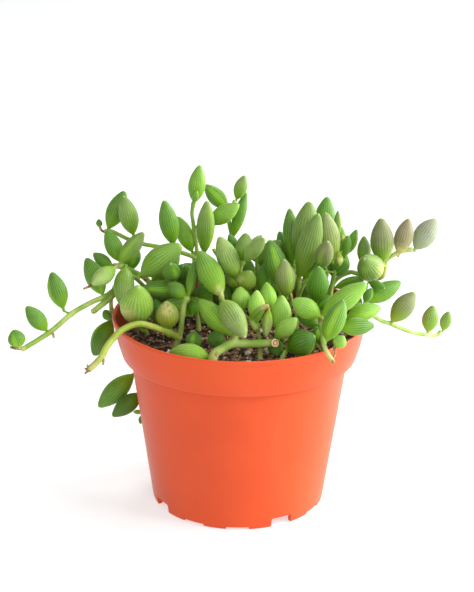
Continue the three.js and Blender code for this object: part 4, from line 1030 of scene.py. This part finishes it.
def grow_near_strings(master, chance):
    for name, plan in STRINGS.items():
        corners = corners_of(name)
        sprout = spot(*plan["hole"], SOIL_LEVEL + SPROUT)
        stems = [([sprout, *(seen(*place) for place in plan["stem"])], plan["girth"], True, "stem")]
        for girth, finish, points in plan.get("forks", []):
            stems.append(([seen(*place) for place in points], girth, False, finish))
        leaves = [find_leaf(corners, leaf) for leaf in plan["leaves"]]
        grow_string(name, stems, leaves, plan["looks"], master, chance)


def grow_far_strings(master, chance):
    rolls = dice(FAR_SEED)
    for index in range(FAR_STRINGS):
        name = f"far_string_{index + 1}"
        points, leaves = far_string(index, corners_of(name), rolls)
        looks = [chance.choice(FAR_LOOKS) for _ in leaves]
        grow_string(name, [(points, FAR_GIRTH, True, "stem")], leaves, looks, master, chance)


# The pot

def body_radius(height):
    return between(FOOT_RADIUS, BODY_TOP_RADIUS, height / BODY_TOP)


def band_radius(share):
    straight = between(BAND_FOOT_RADIUS, RIM_RADIUS - LIP_DEPTH, share)
    return straight + BAND_BULGE * math.sin(math.pi * share)


def band_place(share):
    return band_radius(share), between(BODY_TOP + BAND_START, POT_HEIGHT - LIP_HEIGHT, share)


def inside_line():
    """The inside of the wall from the base up, as (radius, height)."""
    (low_band, low_height), (high_band, high_height) = map(band_place, BAND_RINGS)
    return [
        (body_radius(BASE_TOP) - WALL, BASE_TOP),
        (BODY_TOP_RADIUS - WALL, BODY_TOP + LEDGE_RISE),
        (low_band - WALL, low_height + LEDGE_RISE),
        (high_band - WALL, high_height),
        (RIM_RADIUS - WALL, POT_HEIGHT),
    ]


def inside_radius(height):
    radii, heights = zip(*inside_line())
    return float(np.interp(height, heights, radii))


def inside_at(*heights):
    return [(inside_radius(height), height) for height in heights]


def in_metres(rings):
    """Rings given in millimetres, as (radius, height) in metres."""
    return [(radius * MM, height * MM) for radius, height in rings]


def rounded(corner, radius, height):
    """The rings that round a corner of the section."""
    return [(radius + out, height + up) for out, up in ROUNDINGS[corner]]


def pot_rings():
    """The pot's section from the middle of its base, up inside, over the lip and down outside."""
    foot_inside = FOOT_RADIUS - FOOT_WIDTH
    return [
        (AXIS_RADIUS, BASE_TOP),
        *rounded("base", body_radius(BASE_TOP) - WALL, BASE_TOP),
        *inside_at(*WALL_HEIGHTS),
        *inside_line()[1:3],
        *inside_at(*BAND_HEIGHTS, POT_HEIGHT - LIP_ROUND),
        *rounded("lip inside", RIM_RADIUS - WALL, POT_HEIGHT),
        *rounded("lip outside", RIM_RADIUS, POT_HEIGHT),
        *rounded("lip underside", RIM_RADIUS, POT_HEIGHT - LIP_HEIGHT),
        *map(band_place, np.linspace(*BAND_SHARES, BAND_STEPS)),
        *rounded("band foot", BAND_FOOT_RADIUS, BODY_TOP + BAND_START),
        *rounded("step edge", BAND_FOOT_RADIUS, BODY_TOP + STEP_HEIGHT),
        *rounded("step underside", BAND_FOOT_RADIUS - STEP_DEPTH, BODY_TOP + STEP_HEIGHT),
        *rounded("body top", BODY_TOP_RADIUS, BODY_TOP),
        *((body_radius(height), height) for height in np.linspace(*BODY_HEIGHTS, BODY_STEPS)),
        *rounded("foot outside", FOOT_RADIUS, 0),
        *rounded("foot inside", foot_inside, 0),
        (foot_inside, BASE_UNDERSIDE),
        (AXIS_RADIUS, BASE_UNDERSIDE),
    ]


def notch_cutter(angle, outwards, height):
    """A block that cuts a notch through the foot ring, its edges rounded."""
    width = 2 * FOOT_RADIUS * math.sin(math.radians(NOTCH_DEGREES / 2))
    deselect()
    bpy.ops.mesh.primitive_cube_add(
        size=1, location=outwards * (FOOT_RADIUS - FOOT_WIDTH / 2) * MM, rotation=(0, 0, angle),
        scale=(width * MM, CUT_MARGIN * FOOT_WIDTH * MM, height * 2 * MM))
    block = fixed()
    rounding = min(NOTCH_ROUND, height / 2) * MM
    modify(block, "soften", "BEVEL", width=rounding, segments=NOTCH_SEGMENTS)
    return block


def drain_cutter(outwards):
    """A rod that cuts a drain hole through the base."""
    place = outwards * DRAIN_CIRCLE * MM
    deselect()
    bpy.ops.mesh.primitive_cylinder_add(
        vertices=DRAIN_SIDES, radius=DRAIN_RADIUS * MM, depth=DRAIN_CUT * MM,
        location=(place.x, place.y, BASE_UNDERSIDE * MM))
    return fixed()


def model_pot():
    pot = grown_rings("moulded_pot", POT_SIDES, in_metres(pot_rings()))
    cutters = []
    for k in range(NOTCHES):
        angle = math.radians(360 / NOTCHES * k)
        outwards = Vector((math.sin(angle), -math.cos(angle), 0))
        tall = k % TALL_EVERY == 1
        cutters.append(notch_cutter(angle, outwards, TALL_NOTCH if tall else LOW_NOTCH))
        if tall:
            cutters.append(drain_cutter(outwards))
    for cutter in cutters:
        modify(pot, "cut", "BOOLEAN", object=cutter, operation="DIFFERENCE", solver="EXACT")
        bpy.data.objects.remove(cutter)
    smooth(pot, POT_SMOOTH)
    pot.data.materials.append(FINISHES["pot"])
    settle(pot, "pot_plastic", "pot")


# The potting mix

SOIL_REACH = inside_radius(SOIL_LEVEL) - WALL_GAP


def soil_relief(x, y):
    """The part's own waves."""
    broad = math.sin(BROAD_WAVE["x"] * x + BROAD_WAVE["from_x"])
    broad *= math.cos(BROAD_WAVE["y"] * y + BROAD_WAVE["from_y"])
    along, across = (FINE_WAVE[way][0] * x + FINE_WAVE[way][1] * y for way in ("along", "across"))
    fine = math.sin(along) * math.cos(across)
    return SOIL_RELIEF * (BROAD_WAVE["share"] * broad + FINE_WAVE["share"] * fine)


def soil_height(x, y):
    """The mix's top, with crumbly lumps on the part's relief that die out at the wall."""
    edge = min(1, max(0, (SOIL_REACH - math.hypot(x, y)) / EDGE_FADE))
    lumps = sum(strength * noise.noise(Vector((x, y, layer)) / LUMP_SIZE * fineness)
                for layer, fineness, strength in LUMP_LAYERS)
    return SOIL_LEVEL + edge * (soil_relief(x, y) + SOIL_LUMPS * lumps)


def model_soil(chance):
    wall = [(radius - WALL_GAP, height + WALL_GAP) for radius, height in inside_line()[:3]]
    top = [(SOIL_REACH * share, SOIL_LEVEL) for share in np.linspace(1, SOIL_MIDDLE, SOIL_STEPS)]
    rings = in_metres([(AXIS_RADIUS, BASE_TOP + WALL_GAP), *wall, *top])
    soil = grown_rings("peat_mix", SOIL_SIDES, rings, pointed_end=True)
    places = coordinates(soil.data) / MM
    for place in places:
        if place[2] > SOIL_LEVEL - SAME_PLACE:
            place[2] = soil_height(place[0], place[1])
    set_coordinates(soil.data, places * MM)
    soil.data.materials.append(FINISHES["peat"])
    smooth(soil, SOIL_SMOOTH)
    masters = {name: model_lump(name, *settings) for name, settings in LUMPS.items()}
    pieces = [soil]
    for name, count, sizes in STREWN:
        pieces += scatter(masters[name], count, sizes, chance)
    for master in masters.values():
        bpy.data.objects.remove(master)
    settle(joined("peat_mix", pieces), "potting_mix", "potting_mix")


def model_lump(name, fineness, proportions, shape, finish):
    """A rough little lump of radius 1, from a ball of few faces with its corners pushed about."""
    deselect()
    bpy.ops.mesh.primitive_ico_sphere_add(subdivisions=fineness, radius=1)
    lump = fixed()
    lump.name = name
    places = coordinates(lump.data)
    for place in places:
        push = noise.noise(Vector(place) * LUMP_FINENESS + Vector((shape, 0, 0)))
        place *= 1 + LUMP_ROUGHNESS * push
    set_coordinates(lump.data, places * np.array(proportions))
    lump.data.materials.append(FINISHES[finish])
    return lump


def scatter(master, count, sizes, chance):
    """Copies of a lump laid over the mix, each with its own size and turn."""
    lumps = []
    for _ in range(count):
        size = between(*sizes, chance.random() ** MOSTLY_SMALL)
        far = (SOIL_REACH - LUMP_ROOM - size * LUMP_LENGTH) * math.sqrt(chance.random())
        angle = chance.uniform(0, 2 * math.pi)
        x, y = far * math.cos(angle), far * math.sin(angle)
        lump = copied(master, master.name)
        turned = Matrix.Rotation(chance.uniform(0, 2 * math.pi), 3, "Z")
        for axis, tilt in LUMP_TILTS:
            turned = turned @ Matrix.Rotation(chance.uniform(-tilt, tilt), 3, axis)
        places = coordinates(lump.data) @ np.array(turned).T * size
        places = places + spot(x, y, soil_height(x, y) + size * chance.uniform(*LUMP_RISE))
        set_coordinates(lump.data, places * MM)
        lumps.append(lump)
    return lumps


# Finishes

class Recipe:
    """The node tree of one finish, with short calls for its steps."""

    def __init__(self, name, roughness, sockets=None):
        self.material = bpy.data.materials.new(name)
        self.material.use_nodes = True
        self.tree = self.material.node_tree
        self.shader = self.tree.nodes["Principled BSDF"]
        self.place = self.add("ShaderNodeTexCoord").outputs["Object"]
        self.give("Roughness", roughness)
        for socket, value in (sockets or {}).items():
            self.give(socket, value)

    def add(self, kind, inputs=None, **settings):
        """A new node, with values or links for its inputs."""
        node = self.tree.nodes.new(kind)
        for name, value in settings.items():
            setattr(node, name, value)
        for socket, value in (inputs or {}).items():
            self.feed(node.inputs[socket], value)
        return node

    def feed(self, socket, value):
        if isinstance(value, bpy.types.NodeSocket):
            self.tree.links.new(value, socket)
        else:
            socket.default_value = value

    def give(self, socket, value):
        self.feed(self.shader.inputs[socket], value)

    def attribute(self, name):
        node = self.add("ShaderNodeAttribute", attribute_name=name, attribute_type="GEOMETRY")
        return node.outputs

    def parts(self, kind, value):
        return self.add(f"ShaderNodeSeparate{kind}", {0: value}).outputs[:3]

    def noise(self, scale, detail=2.0, rough=0.5, stretch=None):
        place = self.place
        if stretch:
            spread = self.add("ShaderNodeMapping", {"Vector": place, "Scale": stretch})
            place = spread.outputs["Vector"]
        return self.add("ShaderNodeTexNoise", {
            "Vector": place, "Scale": scale, "Detail": detail, "Roughness": rough}).outputs["Fac"]

    def sum(self, operation, *values):
        return self.add("ShaderNodeMath", dict(enumerate(values)), operation=operation).outputs[0]

    def times(self, first, *others):
        for other in others:
            first = self.sum("MULTIPLY", first, other)
        return first

    def ramp(self, value, low, high, start=0.0, end=1.0):
        """A smooth way from start, where the value is low, to end, where it is high."""
        return self.add("ShaderNodeMapRange", {
            "Value": value, "From Min": low, "From Max": high, "To Min": start, "To Max": end,
        }, interpolation_type="SMOOTHSTEP").outputs["Result"]

    def mix(self, share, first, second, blend="MIX"):
        step = self.add("ShaderNodeMix", {0: share}, data_type="RGBA", blend_type=blend)
        colours = [socket for socket in step.inputs if socket.type == "RGBA"]
        self.feed(colours[0], first)
        self.feed(colours[1], second)
        return next(socket for socket in step.outputs if socket.type == "RGBA")

    def blend(self, value, low, high, first, second, most=1.0):
        """From the first colour, where the value is low, to the second, where it is high."""
        return self.mix(self.ramp(value, low, high, 0.0, most), first, second)

    def finished(self, colour, height, strength, depth):
        """The material, with its colour and its relief of so many metres."""
        relief = self.add("ShaderNodeBump", {
            "Height": height, "Strength": strength, "Distance": depth})
        self.give("Base Color", colour)
        self.give("Normal", relief.outputs["Normal"])
        return self.material


def hue(name):
    return (*HUES[name], 1.0)


def worn(skin, colour):
    """The colour with its string's bleached places and brown scars."""
    brown, cream, _ = skin.parts("Color", skin.attribute("wear")["Color"])
    ragged = skin.sum("MULTIPLY_ADD", skin.noise(560.0, 4.0, 0.65), 1.5, -0.75)
    for near, low, high, most, edge, mark in (
            (cream, 0.10, 0.95, 0.75, 0.3, hue("bleached skin")),
            (brown, 0.35, 0.75, 0.85, 0.2, hue("scar"))):
        patch = skin.ramp(skin.sum("ADD", near, ragged), low, high, 0.0, most)
        colour = skin.mix(skin.times(patch, skin.ramp(near, 0.02, edge)), colour, mark)
    return colour


def leaf_finish():
    """Waxy green skin: fine lines towards its point, a clear stripe, a yellow-green base."""
    skin = Recipe("striped_leaf", 0.42, {
        "Subsurface Weight": 0.3, "Subsurface Scale": 0.0025, "Subsurface Radius": (0.6, 1.0, 0.15),
        "Specular IOR Level": 0.20, "Sheen Weight": 0.38, "Sheen Roughness": 0.2,
        "Sheen Tint": hue("leaf sheen"),
    })
    # The leaf's green, lightened or darkened for some looks as painted light or shade
    tone = skin.attribute("leaf_colour")["Color"]
    marks = skin.attribute("leaf_marks")
    pale, dark, flush = skin.parts("Color", marks["Color"])
    yellow = marks["Alpha"]
    wrap = skin.add("ShaderNodeUVMap", uv_map="wrap").outputs["UV"]
    round_it, up, _ = skin.parts("XYZ", wrap)

    # Lines along the leaf, which wander and fade towards the stalk
    wobble = skin.noise(240.0, 3.0)
    turn = skin.sum("MULTIPLY_ADD", round_it, 25.0, skin.times(wobble, 0.9))
    drift = skin.sum("MULTIPLY_ADD", skin.noise(380.0, 2.0), 0.26, -0.13)
    wave = skin.sum("ADD", skin.sum("PINGPONG", turn, 0.5), drift)
    risen = skin.sum("MULTIPLY_ADD", wobble, 0.16, skin.sum("SUBTRACT", up, 0.08))
    blade, upper = skin.ramp(risen, 0.51, 0.80), skin.ramp(risen, 0.62, 0.88)
    broken = skin.ramp(skin.noise(310.0, 2.0), 0.35, 0.62, 0.35, 1.0)
    dark_line = skin.times(skin.ramp(wave, 0.02, 0.24, 1.0, 0.0), blade, broken)
    pale_line = skin.times(skin.ramp(wave, 0.33, 0.50), blade)

    # The green: mottled, with a bloom on the upper half, a yellow base and a clear stripe
    cloud = skin.noise(130.0, 4.0, 0.6)
    dull = skin.mix(1.0, tone, hue("dull patch"), "MULTIPLY")
    green = skin.blend(cloud, 0.35, 0.7, tone, dull, 0.6)
    bloom = skin.mix(0.5, green, hue("bloom"))
    green = skin.mix(skin.times(upper, 0.35), green, bloom)
    base = skin.times(skin.ramp(up, 0.52, 0.82, 1.0, 0.0), yellow)
    green = skin.mix(base, green, hue("leaf base"))
    stripe = skin.ramp(skin.sum("PINGPONG", round_it, 0.5), 0.02, 0.07, 1.0, 0.0)
    from_middle = skin.sum("ABSOLUTE", skin.sum("SUBTRACT", up, 0.77))
    stripe = skin.times(stripe, skin.ramp(from_middle, 0.12, 0.20, 0.6, 0.0))
    green = skin.mix(stripe, green, hue("clear stripe"))

    # The lines' colours, the purple-brown flush and the pale point
    pale_tone = skin.mix(0.5, green, hue("pale line"))
    green = skin.mix(skin.times(pale_line, pale, 0.75), green, pale_tone)
    flushed = skin.times(flush, upper)
    dark_tone = skin.mix(1.0, green, hue("dark line"), "MULTIPLY")
    dark_tone = skin.mix(flushed, dark_tone, hue("purple line"))
    green = skin.mix(skin.times(dark_line, dark, 0.85), green, dark_tone)
    green = skin.mix(skin.times(flushed, 0.4), green, hue("flush"))
    green = skin.blend(up, 0.984, 0.992, green, hue("leaf point"), 0.5)
    skin.give("Roughness", skin.ramp(cloud, 0.3, 0.7, 0.36, 0.50))
    relief = skin.sum("SUBTRACT", pale_line, dark_line)
    return skin.finished(worn(skin, green), relief, 0.22, 0.0002)


def stem_finish():
    """Yellow-green, with brown scars and paler stretches."""
    skin = Recipe("young_stem", 0.5, {
        "Subsurface Weight": 0.15, "Subsurface Scale": 0.0015, "Specular IOR Level": 0.3})
    long, fine = skin.noise(110.0, 3.0), skin.noise(700.0, 3.0, 0.6)
    green = skin.blend(long, 0.35, 0.65, hue("young stem"), hue("pale stem"))
    scars = skin.times(skin.ramp(fine, 0.58, 0.72), skin.ramp(long, 0.50, 0.62))
    green = skin.mix(scars, green, hue("stem scar"))
    return skin.finished(worn(skin, green), fine, 0.3, 0.0002)


def dry_finish():
    """Dead stalk and husk: papery browns."""
    husk = Recipe("dry_stalk", 0.8)
    fine = husk.noise(600.0, 4.0, 0.65)
    brown = husk.blend(fine, 0.35, 0.65, hue("dry stalk"), hue("papery husk"))
    return husk.finished(brown, fine, 0.6, 0.0003)


def bare_finish():
    """An old leafless stem: pale straw green, red-brown in places."""
    bark = Recipe("old_stem", 0.5, {
        "Subsurface Weight": 0.1, "Subsurface Scale": 0.0015, "Specular IOR Level": 0.3})
    long, fine = bark.noise(75.0, 3.0), bark.noise(650.0, 3.0, 0.6)
    straw = bark.blend(long, 0.4, 0.62, hue("old stem"), hue("straw"))
    straw = bark.blend(fine, 0.62, 0.76, straw, hue("old scar"), 0.5)
    return bark.finished(worn(bark, straw), fine, 0.35, 0.0002)


def cut_finish():
    """A healed cut: pale rim, red-brown ring and tan middle."""
    face = Recipe("cut_face", 0.75)
    outward = face.sum("SUBTRACT", face.attribute("ring")["Fac"], 0.25)
    ring = face.sum("MULTIPLY_ADD", face.noise(900.0, 3.0, 0.6), 0.5, outward)
    tan = face.blend(ring, 0.25, 0.45, hue("cut middle"), hue("cut ring"))
    tan = face.blend(ring, 0.62, 0.82, tan, hue("cut rim"))
    return face.finished(tan, ring, 0.4, 0.0003)


def pot_finish():
    """Moulded terracotta-coloured plastic: satin, faintly mottled, fine-grained, with painted shade
    on its inside wall.
    """
    shell = Recipe("pot_plastic", 0.44, {"Specular IOR Level": 0.3})
    cloud = shell.noise(22.0, 4.0, 0.6)
    flow = shell.noise(60.0, 3.0, 0.5, stretch=(1.0, 1.0, 0.12))
    orange = shell.blend(cloud, 0.3, 0.7, hue("deep terracotta"), hue("terracotta"))
    orange = shell.blend(flow, 0.55, 0.8, orange, hue("light terracotta"), 0.35)
    # Painted shade: the inside wall, from below the mix to just under the rim, is darkened in
    # mottled patches
    across, behind, up = shell.parts("XYZ", shell.place)
    squares = shell.sum("ADD", shell.times(across, across), shell.times(behind, behind))
    lean = shell.sum("MULTIPLY_ADD", up, -INNER_SHADE_SLOPE, shell.sum("SQRT", squares))
    inside = shell.ramp(lean, INNER_SHADE_EDGE[0] * MM, INNER_SHADE_EDGE[1] * MM, 1.0, 0.0)
    for low, high, start, end in INNER_SHADE_HEIGHTS:
        inside = shell.times(inside, shell.ramp(up, low * MM, high * MM, start, end))
    inner_shade = shell.ramp(shell.noise(260.0, 4.0, 0.6), 0.3, 0.7, 0.75, 1.0)
    shaded_orange = shell.mix(1.0, orange, hue("inner_shade"), "MULTIPLY")
    shell.give("Roughness", shell.ramp(cloud, 0.3, 0.7, 0.34, 0.46))
    orange = shell.mix(shell.times(inside, inner_shade), orange, shaded_orange)
    return shell.finished(orange, shell.noise(1500.0, 2.0), 0.12, 0.0001)


def peat_finish():
    """Dark peat, nearly black where damp, with lighter fibres."""
    peat = Recipe("peat", 0.92)
    coarse, fine = peat.noise(330.0, 5.0, 0.65), peat.noise(1400.0, 4.0, 0.7)
    brown = peat.blend(coarse, 0.44, 0.60, hue("damp peat"), hue("dry peat"))
    brown = peat.blend(fine, 0.56, 0.70, brown, hue("peat fibre"), 0.75)
    return peat.finished(brown, peat.sum("ADD", coarse, fine), 0.9, 0.0008)


def bark_finish():
    """Chips of bark: warm browns."""
    chip = Recipe("bark_chip", 0.85)
    coarse = chip.noise(420.0, 3.0)
    fine = chip.noise(1100.0, 3.0, 0.6, stretch=(1.0, 0.25, 1.0))
    brown = chip.blend(coarse, 0.42, 0.62, hue("dark bark"), hue("tan bark"))
    brown = chip.blend(fine, 0.5, 0.7, brown, hue("bark grain"), 0.6)
    return chip.finished(brown, fine, 0.5, 0.0003)


def grain_finish():
    """Perlite and sand: cream to white."""
    grain = Recipe("pale_grain", 0.8, {"Subsurface Weight": 0.1, "Subsurface Scale": 0.001})
    coarse, fine = grain.noise(150.0, 2.0), grain.noise(1600.0, 4.0, 0.7)
    cream = grain.blend(coarse, 0.35, 0.65, hue("white grain"), hue("sand"))
    cream = grain.blend(fine, 0.55, 0.7, cream, hue("dirt"), 0.5)
    return grain.finished(cream, fine, 0.5, 0.0002)


def floor_finish():
    """White paper floor."""
    paper = Recipe("white_paper", 0.7, {
        "Specular IOR Level": 0.1, "Emission Color": hue("paper glow"),
        "Emission Strength": 0.56,
    })
    paper.give("Base Color", paper.blend(
        paper.noise(900.0, 2.0), 0.3, 0.7, hue("paper"), hue("pale paper")))
    return paper.material


# Camera, floor and light

def set_camera():
    data = bpy.data.cameras.new("camera")
    data.sensor_width = SENSOR
    data.lens = FOCAL * SENSOR / max(PICTURE_WIDE, PICTURE_HIGH)
    data.clip_end = FARTHEST
    camera = bpy.data.objects.new("camera", data)
    bpy.context.collection.objects.link(camera)
    across = RIGHTWARD * math.cos(TILT) + UPWARD * math.sin(TILT)
    up = UPWARD * math.cos(TILT) - RIGHTWARD * math.sin(TILT)
    turned = Matrix((across, up, -FORWARD)).transposed().to_4x4()
    camera.matrix_world = Matrix.Translation(EYE * MM) @ turned
    scene.camera = camera


def lay_floor():
    deselect()
    bpy.ops.mesh.primitive_circle_add(vertices=FLOOR_SIDES, radius=FLOOR_RADIUS, fill_type="NGON",
                                      location=(0, 0, -FLOOR_DROP))
    floor = fixed()
    floor.name = "floor"
    floor.data.materials.append(floor_finish())


def set_lamp(name, place, size, power):
    data = bpy.data.lights.new(name, "AREA")
    data.shape = "DISK"
    data.size = size
    data.energy = power
    lamp = bpy.data.objects.new(name, data)
    bpy.context.collection.objects.link(lamp)
    lamp.location = place
    aim = Vector(LAMPS_AIM) - Vector(place)
    lamp.rotation_euler = aim.to_track_quat("-Z", "Y").to_euler()


def light_scene():
    world = bpy.data.worlds.new("studio")
    scene.world = world
    world.use_nodes = True
    sky = world.node_tree.nodes["Background"]
    sky.inputs["Color"].default_value = (1.0, 1.0, 1.0, 1.0)
    sky.inputs["Strength"].default_value = WORLD_LIGHT
    for lamp in LAMPS:
        set_lamp(*lamp)
    scene.view_settings.view_transform = "Standard"


FINISHES = {
    "leaf": leaf_finish(),
    "cut": cut_finish(),
    "stem": stem_finish(),
    "dry": dry_finish(),
    "bare": bare_finish(),
    "pot": pot_finish(),
    "peat": peat_finish(),
    "bark": bark_finish(),
    "grain": grain_finish(),
}

set_camera()
model_pot()
model_soil(random.Random(MIX_SEED))
leaf_master = model_leaf()
leaf_chance = random.Random(LEAF_SEED)
grow_near_strings(leaf_master, leaf_chance)
grow_far_strings(leaf_master, leaf_chance)
bpy.data.objects.remove(leaf_master)
lay_floor()
light_scene()
